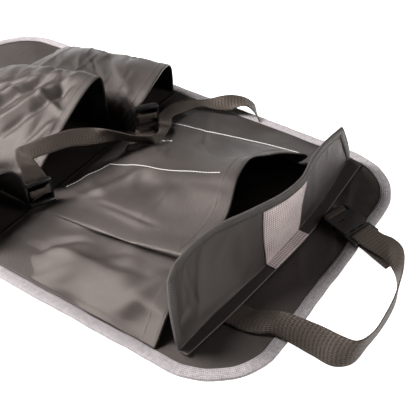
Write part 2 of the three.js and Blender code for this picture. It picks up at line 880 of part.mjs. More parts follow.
// Side strap edges: [x, past the divide towards the head end, z]. x is from the panel's middle.
const sideFarEdge = [
  [204, 118, 4.4],
  [213, 110, 8],
  [212, 99, 14],
  [206, 89, 18],
  [193, 76, 21],
  [180, 57, 15],
  [160, 32, 14],
  [132, 25, 19],
  [100, 33, 22.5],
  [78, 53, 25],
  [63, 58, 31],
  [49, 56, 36],
  [36, 47, 41],
  [26, 32, 47],
  [18, 20, 51],
  [11, 2, 50],
  [-12, -10, 57],
  [-38, -17, 61.5],
  [-64, -27, 62],
  [-80, -31, 62],
  [-90, -24, 58],
  [-94, -13, 52],
];
const sideNearEdge = [
  [187, 134, 4.4],
  [192, 122, 13],
  [190, 111, 19],
  [186, 102, 17],
  [180, 93, 11],
  [172, 78, 11],
  [166, 56, 11],
  [141, 47, 14],
  [119, 44, 17.5],
  [99, 56, 20],
  [58, 62, 19.5],
  [57, 50, 19],
  [47, 36, 20],
  [38, 24, 24],
  [22, 20, 30],
  [-4, 12, 38],
  [-26, 0, 44],
  [-54, -6, 50],
  [-67, -10, 52],
  [-73, -11, 52],
  [-74, -8, 50],
  [-75, -3, 48],
];

function sideStrap() {
  const edge = (list, side) => [
    ...list.map(([x, past, z]) => v3(x, divide - past, z)),
    ...weaveEdge(sideSlider, -side),
  ];
  return strapSolid(edge(sideFarEdge, 1), edge(sideNearEdge, -1), 2);
}

function bottleStrap() {
  const tailNear = [
    [70, 22, 19],
    [60, 29, 17.5],
    [43, 31, 16.5],
  ];
  const tailFar = [
    [90, 38, 18],
    [79, 47, 19],
    [61, 50, 20],
  ];
  const edge = (side, tail) => [
    ...weaveEdge(bottleSlider, side),
    ...tail.map(([x, past, z]) => v3(x, divide - past, z)),
  ];
  return strapSolid(edge(-1, tailNear), edge(1, tailFar), 2);
}

addPiece('lid_flap', sheetSolid(lidRows, lidThickness), finish.cloth);
addPiece('lid_flap_binding', lidFlapBinding(), finish.lidTape);
addPiece('lid_patch', lidPatch(), finish.patch);
addPiece('upper_seam_middle', seamThread(seamMiddleStops, 8), finish.thread);
addPiece('upper_seam_far', seamThread(seamFarStops, 10), finish.thread);
addPiece('upper_seam_short', seamThread(seamShortStops, 3), finish.thread);
addPiece('headrest_strap', headrestStrap(), finish.webbing);
addPiece('buckle_strap', buckleStrap(), finish.webbing);
addPiece('buckle_socket', buckleSocket(), finish.plastic);
addPiece('buckle_plug', bucklePlug(), finish.plastic);
addPiece('side_strap', sideStrap(), finish.webbing);
addPiece('side_strap_slider', slider(sideSlider, [-1, 1]), finish.plastic);
addPiece('bottle_strap', bottleStrap(), finish.webbing);
addPiece('bottle_strap_slider', slider(bottleSlider, [1]), finish.plastic);
addPiece('back_panel', backPanel(), finish.cloth);
addPiece('edge_binding', edgeBinding(), finish.edgeTape);
const upperPocket = sheetSolid(pocketRows, (i) => (i > bodyRows ? hemThickness : clothThickness));

addPiece('upper_pocket', upperPocket, finish.cloth);
addPiece('far_bottle_pocket', farBottlePocket(), finish.cloth);
addPiece('near_bottle_pocket', nearBottlePocket(), finish.cloth);
addPiece('centre_pocket', centrePocket(), finish.cloth);

export default group;
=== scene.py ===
import math

import bmesh
import bpy
import numpy as np
from mathutils import Matrix, Vector


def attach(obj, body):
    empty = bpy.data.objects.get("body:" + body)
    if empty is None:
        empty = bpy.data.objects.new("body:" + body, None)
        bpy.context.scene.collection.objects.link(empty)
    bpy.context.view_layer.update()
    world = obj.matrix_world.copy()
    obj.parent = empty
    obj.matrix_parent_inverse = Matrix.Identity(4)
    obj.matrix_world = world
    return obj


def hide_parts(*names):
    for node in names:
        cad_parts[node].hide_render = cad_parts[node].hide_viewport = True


# Car seat organizer lying on its back. Lengths are in millimetres until a mesh is made.
# -Y is the headrest end, +X the far side, as in the frame.
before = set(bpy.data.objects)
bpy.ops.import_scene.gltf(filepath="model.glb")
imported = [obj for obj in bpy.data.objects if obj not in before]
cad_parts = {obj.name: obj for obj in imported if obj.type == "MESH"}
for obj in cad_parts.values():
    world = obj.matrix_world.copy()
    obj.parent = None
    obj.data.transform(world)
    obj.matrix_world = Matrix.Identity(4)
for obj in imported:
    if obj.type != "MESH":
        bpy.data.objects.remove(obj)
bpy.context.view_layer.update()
print("frame loaded")

view = {
    "azimuth": -56.105, "elevation": 41.903, "roll": -0.369,
    "distance": 0.943808, "target": (0.014879, -0.149932, 0.0),
    "lens": 70.66, "sensor": 36.0,
}


def makeCamera():
    azimuth, elevation, roll = (math.radians(view[k]) for k in ("azimuth", "elevation", "roll"))
    flat = math.cos(elevation)
    back = Vector((math.sin(azimuth) * flat, -math.cos(azimuth) * flat, math.sin(elevation)))
    right = Vector((0, 0, 1)).cross(back).normalized()
    up = back.cross(right)
    rolledRight = right * math.cos(roll) + up * math.sin(roll)
    rolledUp = up * math.cos(roll) - right * math.sin(roll)
    data = bpy.data.cameras.new("camera")
    data.lens = view["lens"]
    data.sensor_width = view["sensor"]
    data.clip_start, data.clip_end = 0.05, 20
    camera = bpy.data.objects.new("camera", data)
    place = Matrix((rolledRight, rolledUp, back)).transposed().to_4x4()
    place.translation = Vector(view["target"]) + back * view["distance"]
    camera.matrix_world = place
    bpy.context.scene.collection.objects.link(camera)
    bpy.context.scene.camera = camera


makeCamera()

# Lamps are given by the compass angle from -Y to +X, the angle above the floor, size and power
studio = {
    "floorSize": 8.0, "floorColour": (0.93, 0.93, 0.93), "floorGlow": 0.9,
    "worldColour": (1.0, 0.98, 0.96), "worldStrength": 0.07,
    "distance": 1.8, "aim": (0.0, -0.05, 0.03),
    "lamps": {
        "backLamp": (207, 34, 0.7, 78), "highLamp": (186, 58, 0.5, 26),
        "frontLamp": (22, 24, 0.9, 20),
    },
}


def makeStudio():
    scene = bpy.context.scene
    scene.view_settings.view_transform = "Standard"
    world = bpy.data.worlds.new("studio")
    world.use_nodes = True
    background = world.node_tree.nodes["Background"]
    background.inputs["Color"].default_value = (*studio["worldColour"], 1)
    background.inputs["Strength"].default_value = studio["worldStrength"]
    scene.world = world
    half = studio["floorSize"] / 2
    mesh = bpy.data.meshes.new("floor")
    corners = [(-half, -half, 0), (half, -half, 0), (half, half, 0), (-half, half, 0)]
    mesh.from_pydata(corners, [], [(0, 1, 2, 3)])
    floor = bpy.data.objects.new("floor", mesh)
    scene.collection.objects.link(floor)
    paper = bpy.data.materials.new("studioPaper")
    paper.use_nodes = True
    shader = paper.node_tree.nodes["Principled BSDF"]
    shader.inputs["Base Color"].default_value = (*studio["floorColour"], 1)
    shader.inputs["Roughness"].default_value = 0.9
    shader.inputs["Emission Color"].default_value = (1, 1, 1, 1)
    shader.inputs["Emission Strength"].default_value = studio["floorGlow"]
    mesh.materials.append(paper)
    for name, (compass, height, size, power) in studio["lamps"].items():
        light = bpy.data.lights.new(name, "AREA")
        light.shape = "DISK"
        light.size = size
        light.energy = power
        lamp = bpy.data.objects.new(name, light)
        turn, climb = math.radians(compass), math.radians(height)
        flat = math.cos(climb)
        away = Vector((math.sin(turn) * flat, -math.cos(turn) * flat, math.sin(climb)))
        lamp.location = Vector(studio["aim"]) + away * studio["distance"]
        lamp.rotation_euler = away.to_track_quat("Z", "Y").to_euler()
        scene.collection.objects.link(lamp)


makeStudio()
print("camera and studio ready")


# Number helpers
def mix(a, b, t):
    return a + (b - a) * t


def smooth(t):
    t = np.clip(t, 0, 1)
    return t * t * (3 - 2 * t)


def bell(t):
    return np.exp(-t * t)


def unit(v):
    return v / np.maximum(np.linalg.norm(v, axis=-1, keepdims=True), 1e-9)


# Smooth curve through sorted (x, value) pairs, with no overshoot worth seeing
def profile(pairs, x):
    xs, ys = np.array(pairs, float).T
    slopes = np.gradient(ys, xs)
    x = np.clip(x, xs[0], xs[-1])
    i = np.clip(np.searchsorted(xs, x) - 1, 0, len(xs) - 2)
    step = xs[i + 1] - xs[i]
    t = (x - xs[i]) / step
    return (
        (2 * t**3 - 3 * t**2 + 1) * ys[i]
        + (t**3 - 2 * t**2 + t) * step * slopes[i]
        + (3 * t**2 - 2 * t**3) * ys[i + 1]
        + (t**3 - t**2) * step * slopes[i + 1]
    )


# Irregular smooth waves, about -1 to 1
def waves(u, v, seed, length, count=14):
    random = np.random.default_rng(seed)
    total = 0
    for _ in range(count):
        angle = random.uniform(0, 2 * math.pi)
        reach = length * random.uniform(0.55, 1.6)
        phase = random.uniform(0, 2 * math.pi)
        total = total + np.sin(2 * math.pi * (u * math.cos(angle) + v * math.sin(angle)) / reach + phase)
    return total / math.sqrt(count)


# Many short soft creases, most of them near one direction, about -1 to 1
def creases(u, v, seed, length, count=40, direction=0.0, spread=0.6, sharp=0.07):
    random = np.random.default_rng(seed)
    total = np.zeros(np.broadcast(u, v).shape)
    for _ in range(count):
        angle = math.radians(direction) + random.normal(0, spread)
        reach = length * random.uniform(0.5, 1.5)
        middle = np.array([random.uniform(u.min(), u.max()), random.uniform(v.min(), v.max())])
        half = np.array([math.cos(angle), math.sin(angle)]) * reach / 2
        size = random.uniform(0.4, 1.0) * random.choice([-1, 1, 1])
        width = reach * sharp * random.uniform(0.6, 1.6)
        total = total + fold(u, v, middle - half, middle + half, width, size)
    return np.tanh(total)


# A fold from start to end: a ridge where height is above 0, else a valley
def fold(u, v, start, end, width, height):
    a, b = np.array(start, float), np.array(end, float)
    along = b - a
    reach = np.linalg.norm(along)
    t = ((u - a[0]) * along[0] + (v - a[1]) * along[1]) / reach**2
    off = ((u - a[0]) * along[1] - (v - a[1]) * along[0]) / reach
    ends = smooth((t + 0.18) / 0.36) * smooth((1.18 - t) / 0.36)
    return height * bell(off / width) * ends


# Folds given as (start, end, width, height), added up
def foldsOver(u, v, folds):
    return sum(fold(u, v, *each) for each in folds)


def gridNormals(grid):
    return unit(np.cross(np.gradient(grid, axis=1), np.gradient(grid, axis=0)))


def lift(grid, amount):
    return grid + gridNormals(grid) * np.asarray(amount)[..., None]


# Centripetal curve through points, steps samples a span
def curveThrough(points, steps):
    points = np.array(points, float)
    ends = [2 * points[0] - points[1], *points, 2 * points[-1] - points[-2]]
    out = []
    for k in range(1, len(points)):
        p0, p1, p2, p3 = ends[k - 1 : k + 3]
        t0 = 0
        t1 = t0 + math.sqrt(np.linalg.norm(p1 - p0))
        t2 = t1 + math.sqrt(np.linalg.norm(p2 - p1))
        t3 = t2 + math.sqrt(np.linalg.norm(p3 - p2))
        for t in t1 + (t2 - t1) * np.arange(steps) / steps:
            a1 = ((t1 - t) * p0 + (t - t0) * p1) / (t1 - t0)
            a2 = ((t2 - t) * p1 + (t - t1) * p2) / (t2 - t1)
            a3 = ((t3 - t) * p2 + (t - t2) * p3) / (t3 - t2)
            b1 = ((t2 - t) * a1 + (t - t0) * a2) / (t2 - t0)
            b2 = ((t3 - t) * a2 + (t - t1) * a3) / (t3 - t1)
            out.append(((t2 - t) * b1 + (t - t1) * b2) / (t2 - t1))
    out.append(points[-1])
    return np.array(out)


# Point between the knots of a grid, lifted along its normals
def onGrid(grid, row, column, height):
    i0 = min(int(row), grid.shape[0] - 2)
    j0 = min(int(column), grid.shape[1] - 2)
    a, b = row - i0, column - j0

    def between(values):
        low = mix(values[i0, j0], values[i0, j0 + 1], b)
        high = mix(values[i0 + 1, j0], values[i0 + 1, j0 + 1], b)
        return mix(low, high, a)

    return between(grid) + between(gridNormals(grid)) * height


def arcLengths(points):
    steps = np.linalg.norm(np.diff(points, axis=0), axis=-1)
    return np.concatenate([[0], np.cumsum(steps)])


# Points spread evenly along a polyline
def evenly(points, count):
    points = np.asarray(points, float)
    lengths = arcLengths(points)
    places = np.linspace(0, lengths[-1], count)
    return np.stack([np.interp(places, lengths, points[:, k]) for k in range(points.shape[1])], axis=-1)


# Mesh helpers
def addObject(name, vertices, faces, material, nodes=(), uv=None, smoothShade=True):
    mesh = bpy.data.meshes.new(name)
    mesh.from_pydata([tuple(p) for p in np.asarray(vertices) * 0.001], [], [tuple(f) for f in faces])
    if uv is not None:
        layer = mesh.uv_layers.new(name="clothUV")
        corner = np.zeros(len(mesh.loops), int)
        mesh.loops.foreach_get("vertex_index", corner)
        layer.data.foreach_set("uv", (np.asarray(uv)[corner] * 0.001).astype(np.float32).ravel())
    shell = bmesh.new()
    shell.from_mesh(mesh)
    bmesh.ops.recalc_face_normals(shell, faces=shell.faces)
    shell.to_mesh(mesh)
    shell.free()
    mesh.polygons.foreach_set("use_smooth", [smoothShade] * len(mesh.polygons))
    mesh.materials.append(material)
    piece = bpy.data.objects.new(name, mesh)
    bpy.context.scene.collection.objects.link(piece)
    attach(piece, "root")
    if nodes:
        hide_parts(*nodes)
    return piece


# Distances along the rows and columns of a grid, as the cloth's own coordinates
def clothUV(grid):
    acrossSteps = np.linalg.norm(np.diff(grid, axis=1), axis=-1)
    alongSteps = np.linalg.norm(np.diff(grid, axis=0), axis=-1)
    u = np.concatenate([np.zeros((grid.shape[0], 1)), np.cumsum(acrossSteps, 1)], 1)
    v = np.concatenate([np.zeros((1, grid.shape[1])), np.cumsum(alongSteps, 0)], 0)
    return np.stack([u - u.mean(1, keepdims=True), v], axis=-1)


def addSheet(name, grid, thickness, material, nodes=(), uv=None):
    rows, columns = grid.shape[:2]
    half = np.broadcast_to(np.asarray(thickness, float), (rows, columns))[..., None] / 2
    offset = gridNormals(grid) * half
    vertices = np.concatenate([(grid + offset).reshape(-1, 3), (grid - offset).reshape(-1, 3)])
    index = np.arange(rows * columns).reshape(rows, columns)
    under = index + rows * columns
    quads = np.stack([index[:-1, :-1], index[:-1, 1:], index[1:, 1:], index[1:, :-1]], -1).reshape(-1, 4)
    lowQuads = quads[:, ::-1] + rows * columns
    rims = []
    edges = [side for layer in (index, under) for side in (layer[0], layer[-1], layer[:, 0], layer[:, -1])]
    for edge, low in zip(edges[:4], edges[4:]):
        rims.append(np.stack([edge[:-1], edge[1:], low[1:], low[:-1]], -1))
    faces = np.concatenate([quads, lowQuads, *rims])
    flatUV = (clothUV(grid) if uv is None else uv).reshape(-1, 2)
    return addObject(name, vertices, faces, material, nodes, np.concatenate([flatUV, flatUV]))


# Tape or rail of a closed section, swept through stations of point, inward and normal
def addSweep(name, points, inward, normal, section, isRing, material, nodes=()):
    section = np.array(section, float)
    count, stations = len(section), len(points)
    body = points[:, None] + inward[:, None] * section[None, :, :1] + normal[:, None] * section[None, :, 1:]
    faces = []
    for s in range(stations if isRing else stations - 1):
        here, ahead = s * count, (s + 1) % stations * count
        for k in range(count):
            after = (k + 1) % count
            faces.append((here + k, here + after, ahead + after, ahead + k))
    if not isRing:
        faces += [tuple(range(count)), tuple(range((stations - 1) * count, stations * count))[::-1]]
    around = arcLengths(np.vstack([section, section[:1]]))[:-1]
    closed = np.vstack([points, points[:1]])
    run = arcLengths(closed)[:stations]
    uv = np.stack(np.broadcast_arrays(around[None, :], run[:, None]), -1).reshape(-1, 2)
    return addObject(name, body.reshape(-1, 3), faces, material, nodes, uv)


# Folded tape: both legs, with a round fold
def tapeSection(gap, thickness, legWidth, foldSteps=6):
    inner, outer = gap / 2, gap / 2 + thickness
    turn = np.linspace(-math.pi / 2, math.pi / 2, foldSteps)
    outside = [(-math.cos(a) * thickness * 0.9, math.sin(a) * outer) for a in turn]
    inside = [(legWidth, inner), (0.1, inner), (0.1, -inner), (legWidth, -inner)]
    return [(legWidth, -outer), *outside, (legWidth, outer), *inside]


# Materials
def socketGroup(name, inputs, outputs):
    group = bpy.data.node_groups.new(name, "ShaderNodeTree")
    for socketName, kind, value in inputs:
        socket = group.interface.new_socket(socketName, in_out="INPUT", socket_type=kind)
        if value is not None:
            socket.default_value = value
    for socketName, kind in outputs:
        group.interface.new_socket(socketName, in_out="OUTPUT", socket_type=kind)
    return group, group.nodes.new("NodeGroupInput"), group.nodes.new("NodeGroupOutput")


def mathNode(tree, operation, first, second=None, third=None):
    node = tree.nodes.new("ShaderNodeMath")
    node.operation = operation
    for k, value in enumerate((first, second, third)):
        if value is None:
            continue
        if isinstance(value, (int, float)):
            node.inputs[k].default_value = value
        else:
            tree.links.new(value, node.inputs[k])
    return node.outputs[0]


# Woven threads on cloth coordinates. Repeat 2 is a plain weave, 4 a twill.
def makeWeaveGroup():
    tree, start, end = socketGroup(
        "wovenThreads",
        [
            ("Vector", "NodeSocketVector", None),
            ("Across", "NodeSocketFloat", 0.001),
            ("Along", "NodeSocketFloat", 0.001),
            ("Repeat", "NodeSocketFloat", 2.0),
            ("Loose", "NodeSocketFloat", 0.1),
        ],
        [("Height", "NodeSocketFloat")],
    )
    bend = tree.nodes.new("ShaderNodeTexNoise")
    bend.inputs["Scale"].default_value = 90
    tree.links.new(start.outputs["Vector"], bend.inputs["Vector"])
    split = tree.nodes.new("ShaderNodeSeparateXYZ")
    tree.links.new(start.outputs["Vector"], split.inputs[0])
    swing = mathNode(tree, "SUBTRACT", bend.outputs["Fac"], 0.5)
    sway = mathNode(tree, "MULTIPLY", swing, start.outputs["Loose"])
    cells = []
    for axis, pitch in (("X", "Across"), ("Y", "Along")):
        count = mathNode(tree, "DIVIDE", split.outputs[axis], start.outputs[pitch])
        cells.append(mathNode(tree, "ADD", count, sway))
    humps = []
    for cell in cells:
        wave = mathNode(tree, "SINE", mathNode(tree, "MULTIPLY", cell, math.pi))
        humps.append(mathNode(tree, "ABSOLUTE", wave))
    steps = mathNode(tree, "ADD", mathNode(tree, "FLOOR", cells[0]), mathNode(tree, "FLOOR", cells[1]))
    place = mathNode(tree, "FLOORED_MODULO", steps, start.outputs["Repeat"])
    over = mathNode(tree, "LESS_THAN", place, mathNode(tree, "MULTIPLY", start.outputs["Repeat"], 0.5))
    lengthwise = mathNode(tree, "MULTIPLY", humps[0], mathNode(tree, "MULTIPLY_ADD", humps[1], 0.4, 0.6))
    crosswise = mathNode(tree, "MULTIPLY", humps[1], mathNode(tree, "MULTIPLY_ADD", humps[0], 0.4, 0.6))
    under = mathNode(tree, "SUBTRACT", 1.0, over)
    onTop = mathNode(tree, "MULTIPLY", over, lengthwise)
    below = mathNode(tree, "MULTIPLY", under, crosswise)
    height = mathNode(tree, "ADD", onTop, below)
    tree.links.new(height, end.inputs["Height"])
    return tree


# Soft blotches over the whole piece, from dust, creases and handling
def makeHandledGroup():
    tree, start, end = socketGroup(
        "handledCloth",
        [("Vector", "NodeSocketVector", None), ("Scale", "NodeSocketFloat", 12.0)],
        [("Blotch", "NodeSocketFloat")],
    )
    large = tree.nodes.new("ShaderNodeTexNoise")
    large.inputs["Detail"].default_value = 5
    large.inputs["Roughness"].default_value = 0.62
    tree.links.new(start.outputs["Vector"], large.inputs["Vector"])
    tree.links.new(start.outputs["Scale"], large.inputs["Scale"])
    tree.links.new(large.outputs["Fac"], end.inputs["Blotch"])
    return tree


weaveGroup = makeWeaveGroup()
handledGroup = makeHandledGroup()

cloths = {
    "organizerFabric": {
        "dark": (0.002, 0.0016, 0.0014), "light": (0.030, 0.0240, 0.0215), "across": 1.5,
        "along": 1.5, "repeat": 2.0,
        "bump": 0.00035, "roughness": 0.45, "gloss": 0.7, "tint": (1.0, 0.86, 0.80), "sheen": 0.02,
        "blotch": 0.35, "blotchScale": 14,
    },
    "edgeTapeCloth": {
        "dark": (0.09, 0.078, 0.080), "light": (0.50, 0.455, 0.465), "across": 2.2, "along": 2.0,
        "repeat": 2.0,
        "bump": 0.0006, "roughness": 0.85, "gloss": 0.3, "tint": (1.0, 1.0, 1.0), "sheen": 0.1,
        "blotch": 0.5, "blotchScale": 260,
    },
    "flapTapeCloth": {
        "dark": (0.004, 0.0034, 0.003), "light": (0.060, 0.052, 0.047), "across": 2.0, "along": 1.6,
        "repeat": 2.0,
        "bump": 0.0006, "roughness": 0.5, "gloss": 0.5, "tint": (1.0, 0.9, 0.86), "sheen": 0.05,
        "blotch": 0.4, "blotchScale": 90,
    },
    "patchCloth": {
        "dark": (0.02, 0.016, 0.016), "light": (0.74, 0.62, 0.60), "across": 3.0, "along": 3.0,
        "repeat": 2.0,
        "bump": 0.0006, "roughness": 0.6, "gloss": 0.4, "tint": (1.0, 1.0, 1.0), "sheen": 0.05,
        "blotch": 0.25, "blotchScale": 40,
    },
    "webbingCloth": {
        "dark": (0.004, 0.0032, 0.0026), "light": (0.078, 0.060, 0.049), "across": 2.1,
        "along": 4.2, "repeat": 2.0,
        "bump": 0.0005, "roughness": 0.55, "gloss": 0.4, "tint": (1.0, 0.86, 0.78), "sheen": 0.02,
        "blotch": 0.25, "blotchScale": 30,
    },
}


def makeCloth(name):
    look = cloths[name]
    material = bpy.data.materials.new(name)
    material.use_nodes = True
    tree = material.node_tree
    shader = tree.nodes["Principled BSDF"]
    shader.inputs["Roughness"].default_value = look["roughness"]
    shader.inputs["Specular IOR Level"].default_value = look["gloss"]
    shader.inputs["Specular Tint"].default_value = (*look["tint"], 1)
    shader.inputs["Sheen Weight"].default_value = look["sheen"]
    shader.inputs["Sheen Roughness"].default_value = 0.4
    shader.inputs["Sheen Tint"].default_value = (0.9, 0.88, 0.86, 1)
    uv = tree.nodes.new("ShaderNodeUVMap")
    uv.uv_map = "clothUV"
    weave = tree.nodes.new("ShaderNodeGroup")
    weave.node_tree = weaveGroup
    weave.inputs["Across"].default_value = look["across"] * 0.001
    weave.inputs["Along"].default_value = look["along"] * 0.001
    weave.inputs["Repeat"].default_value = look["repeat"]
    tree.links.new(uv.outputs[0], weave.inputs["Vector"])
    handled = tree.nodes.new("ShaderNodeGroup")
    handled.node_tree = handledGroup
    handled.inputs["Scale"].default_value = look["blotchScale"]
    place = tree.nodes.new("ShaderNodeTexCoord")
    tree.links.new(place.outputs["Object"], handled.inputs["Vector"])
    blotch = look["blotch"]
    worn = mathNode(tree, "MULTIPLY_ADD", handled.outputs["Blotch"], blotch * 2, -blotch * 0.5)
    shade = mathNode(tree, "MULTIPLY_ADD", weave.outputs["Height"], 1 - blotch, worn)
    colour = tree.nodes.new("ShaderNodeMix")
    colour.data_type = "RGBA"
    colour.inputs["A"].default_value = (*look["dark"], 1)
    colour.inputs["B"].default_value = (*look["light"], 1)
    tree.links.new(shade, colour.inputs["Factor"])
    tree.links.new(colour.outputs["Result"], shader.inputs["Base Color"])
    bump = tree.nodes.new("ShaderNodeBump")
    bump.inputs["Distance"].default_value = look["bump"]
    bump.inputs["Strength"].default_value = 0.7
    tree.links.new(weave.outputs["Height"], bump.inputs["Height"])
    tree.links.new(bump.outputs["Normal"], shader.inputs["Normal"])
    return material


fabric, edgeTape, flapTape, patchWeave, webbing = (makeCloth(name) for name in cloths)

plastics = {
    "buckleMoulding": {"colour": (0.016, 0.013, 0.011), "roughness": 0.5, "grain": 0.0001},
    "sliderMoulding": {"colour": (0.008, 0.008, 0.008), "roughness": 0.24, "grain": 0.00003},
}
threadLooks = {
    "whiteThread": (0.78, 0.75, 0.70),
    "darkThread": (0.055, 0.048, 0.042),
    "greyThread": (0.50, 0.46, 0.45),
}


def makePlastic(name):
    look = plastics[name]
    material = bpy.data.materials.new(name)
    material.use_nodes = True
    tree = material.node_tree
    shader = tree.nodes["Principled BSDF"]
    shader.inputs["Base Color"].default_value = (*look["colour"], 1)
    place = tree.nodes.new("ShaderNodeTexCoord")
    handled = tree.nodes.new("ShaderNodeGroup")
    handled.node_tree = handledGroup
    handled.inputs["Scale"].default_value = 60
    tree.links.new(place.outputs["Object"], handled.inputs["Vector"])
    rough = mathNode(tree, "MULTIPLY_ADD", handled.outputs["Blotch"], 0.25, look["roughness"] - 0.1)
    tree.links.new(rough, shader.inputs["Roughness"])
    grain = tree.nodes.new("ShaderNodeTexNoise")
    grain.inputs["Scale"].default_value = 2500
    tree.links.new(place.outputs["Object"], grain.inputs["Vector"])
    bump = tree.nodes.new("ShaderNodeBump")
    bump.inputs["Distance"].default_value = look["grain"]
    tree.links.new(grain.outputs["Fac"], bump.inputs["Height"])
    tree.links.new(bump.outputs["Normal"], shader.inputs["Normal"])
    return material


def makeThread(name):
    material = bpy.data.materials.new(name)
    material.use_nodes = True
    tree = material.node_tree
    shader = tree.nodes["Principled BSDF"]
    shader.inputs["Roughness"].default_value = 0.7
    place = tree.nodes.new("ShaderNodeTexCoord")
    twist = tree.nodes.new("ShaderNodeTexNoise")
    twist.inputs["Scale"].default_value = 900
    tree.links.new(place.outputs["Object"], twist.inputs["Vector"])
    colour = tree.nodes.new("ShaderNodeMix")
    colour.data_type = "RGBA"
    colour.inputs["A"].default_value = (*(c * 0.6 for c in threadLooks[name]), 1)
    colour.inputs["B"].default_value = (*threadLooks[name], 1)
    tree.links.new(twist.outputs["Fac"], colour.inputs["Factor"])
    tree.links.new(colour.outputs["Result"], shader.inputs["Base Color"])
    return material


matPlastic, glossPlastic = (makePlastic(name) for name in plastics)
whiteThread, darkThread, greyThread = (makeThread(name) for name in threadLooks)
print("materials ready")


# Stitches: Geometry Nodes set one small capsule at each step of a line
def makeStitchTree():
    tree = bpy.data.node_groups.new("stitchRow", "GeometryNodeTree")
    tree.interface.new_socket("Geometry", in_out="INPUT", socket_type="NodeSocketGeometry")
    for name, value in (("Pitch", 0.003), ("Length", 0.0022), ("Radius", 0.0003)):
        socket = tree.interface.new_socket(name, in_out="INPUT", socket_type="NodeSocketFloat")
        socket.default_value = value
    tree.interface.new_socket("Thread", in_out="INPUT", socket_type="NodeSocketMaterial")
    tree.interface.new_socket("Geometry", in_out="OUTPUT", socket_type="NodeSocketGeometry")
    start, end = tree.nodes.new("NodeGroupInput"), tree.nodes.new("NodeGroupOutput")
    line = tree.nodes.new("GeometryNodeMeshToCurve")
    tree.links.new(start.outputs["Geometry"], line.inputs["Mesh"])
    steps = tree.nodes.new("GeometryNodeCurveToPoints")
    steps.mode = "LENGTH"
    tree.links.new(line.outputs["Curve"], steps.inputs["Curve"])
    tree.links.new(start.outputs["Pitch"], steps.inputs["Length"])
    bead = tree.nodes.new("GeometryNodeMeshUVSphere")
    bead.inputs["Segments"].default_value = 6
    bead.inputs["Rings"].default_value = 4
    bead.inputs["Radius"].default_value = 1
    size = tree.nodes.new("ShaderNodeCombineXYZ")
    half = tree.nodes.new("ShaderNodeMath")
    half.operation = "MULTIPLY"
    half.inputs[1].default_value = 0.5
    tree.links.new(start.outputs["Length"], half.inputs[0])
    tree.links.new(start.outputs["Radius"], size.inputs["X"])
    tree.links.new(start.outputs["Radius"], size.inputs["Y"])
    tree.links.new(half.outputs[0], size.inputs["Z"])
    place = tree.nodes.new("GeometryNodeInstanceOnPoints")
    tree.links.new(steps.outputs["Points"], place.inputs["Points"])
    tree.links.new(bead.outputs["Mesh"], place.inputs["Instance"])
    tree.links.new(steps.outputs["Rotation"], place.inputs["Rotation"])
    tree.links.new(size.outputs[0], place.inputs["Scale"])
    real = tree.nodes.new("GeometryNodeRealizeInstances")
    tree.links.new(place.outputs["Instances"], real.inputs["Geometry"])
    dress = tree.nodes.new("GeometryNodeSetMaterial")
    tree.links.new(real.outputs["Geometry"], dress.inputs["Geometry"])
    tree.links.new(start.outputs["Thread"], dress.inputs["Material"])
    tree.links.new(dress.outputs["Geometry"], end.inputs["Geometry"])
    return tree


stitchTree = makeStitchTree()
stitch = {"pitch": 3.4, "length": 2.7, "radius": 0.32}


# Lines are lists of points on the cloth, in millimetres
def addStitches(name, lines, thread, pitch=None, length=None, radius=None, nodes=()):
    vertices, edges = [], []
    for line in lines:
        first = len(vertices)
        vertices += [tuple(p) for p in np.asarray(line) * 0.001]
        edges += [(k, k + 1) for k in range(first, len(vertices) - 1)]
    mesh = bpy.data.meshes.new(name + ".line")
    mesh.from_pydata(vertices, edges, [])
    draft = bpy.data.objects.new(name + ".draft", mesh)
    bpy.context.scene.collection.objects.link(draft)
    modifier = draft.modifiers.new("stitches", "NODES")
    values = {
        "Pitch": (pitch or stitch["pitch"]) * 0.001, "Length": (length or stitch["length"]) * 0.001,
        "Radius": (radius or stitch["radius"]) * 0.001, "Thread": thread,
    }
    modifier.node_group = stitchTree
    for item in stitchTree.interface.items_tree:
        if item.in_out == "INPUT" and item.name in values:
            modifier[item.identifier] = values[item.name]
    evaluated = draft.evaluated_get(bpy.context.evaluated_depsgraph_get())
    plain = bpy.data.meshes.new_from_object(evaluated)
    bpy.data.objects.remove(draft)
    piece = bpy.data.objects.new(name, plain)
    bpy.context.scene.collection.objects.link(piece)
    plain.polygons.foreach_set("use_smooth", [True] * len(plain.polygons))
    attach(piece, "root")
    if nodes:
        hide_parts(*nodes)
    return piece


# Backing panel and its edge tape
panel = {
    "width": 400, "length": 650, "corner": 82, "thickness": 2, "tapeWidth": 13, "tapeThickness": 0.9,
    "headMargin": 100, "upperPocketLength": 243, "rows": 200, "columns": 130,
    "clothThickness": 1.1, "clothDrop": 0.6, "clothInset": 0.4, "rowSpread": 0.72, "calmEdge": 14,
    "ripple": 0.7, "waveLength": 70, "creaseLength": 60, "creases": 90, "lowest": -0.3, "highest": 2.2,
    "tapeHeight": 1.6, "tapeGap": 1.4, "tapeInset": 0.3, "outerStitch": 2.6, "innerStitch": 2.2,
    "folds": [
        ((30, -300), (150, -268), 5, 1.4),
        ((100, -252), (176, -240), 4, 1.2),
        ((-150, -205), (-186, -150), 5, 0.9),
        ((-160, -110), (-184, -60), 5, 0.8),
    ],
}
headEnd = -panel["length"] / 2
divide = headEnd + panel["headMargin"] + panel["upperPocketLength"]
faceHalfWidth = panel["width"] / 2 - panel["tapeWidth"] - 0.3


def halfWidthAt(y, inset):
    half, end = panel["width"] / 2 - inset, panel["length"] / 2 - inset
    radius = panel["corner"] - inset
    into = np.clip(np.abs(y) - (end - radius), 0, radius)
    return half - radius + np.sqrt(np.maximum(radius**2 - into**2, 0))


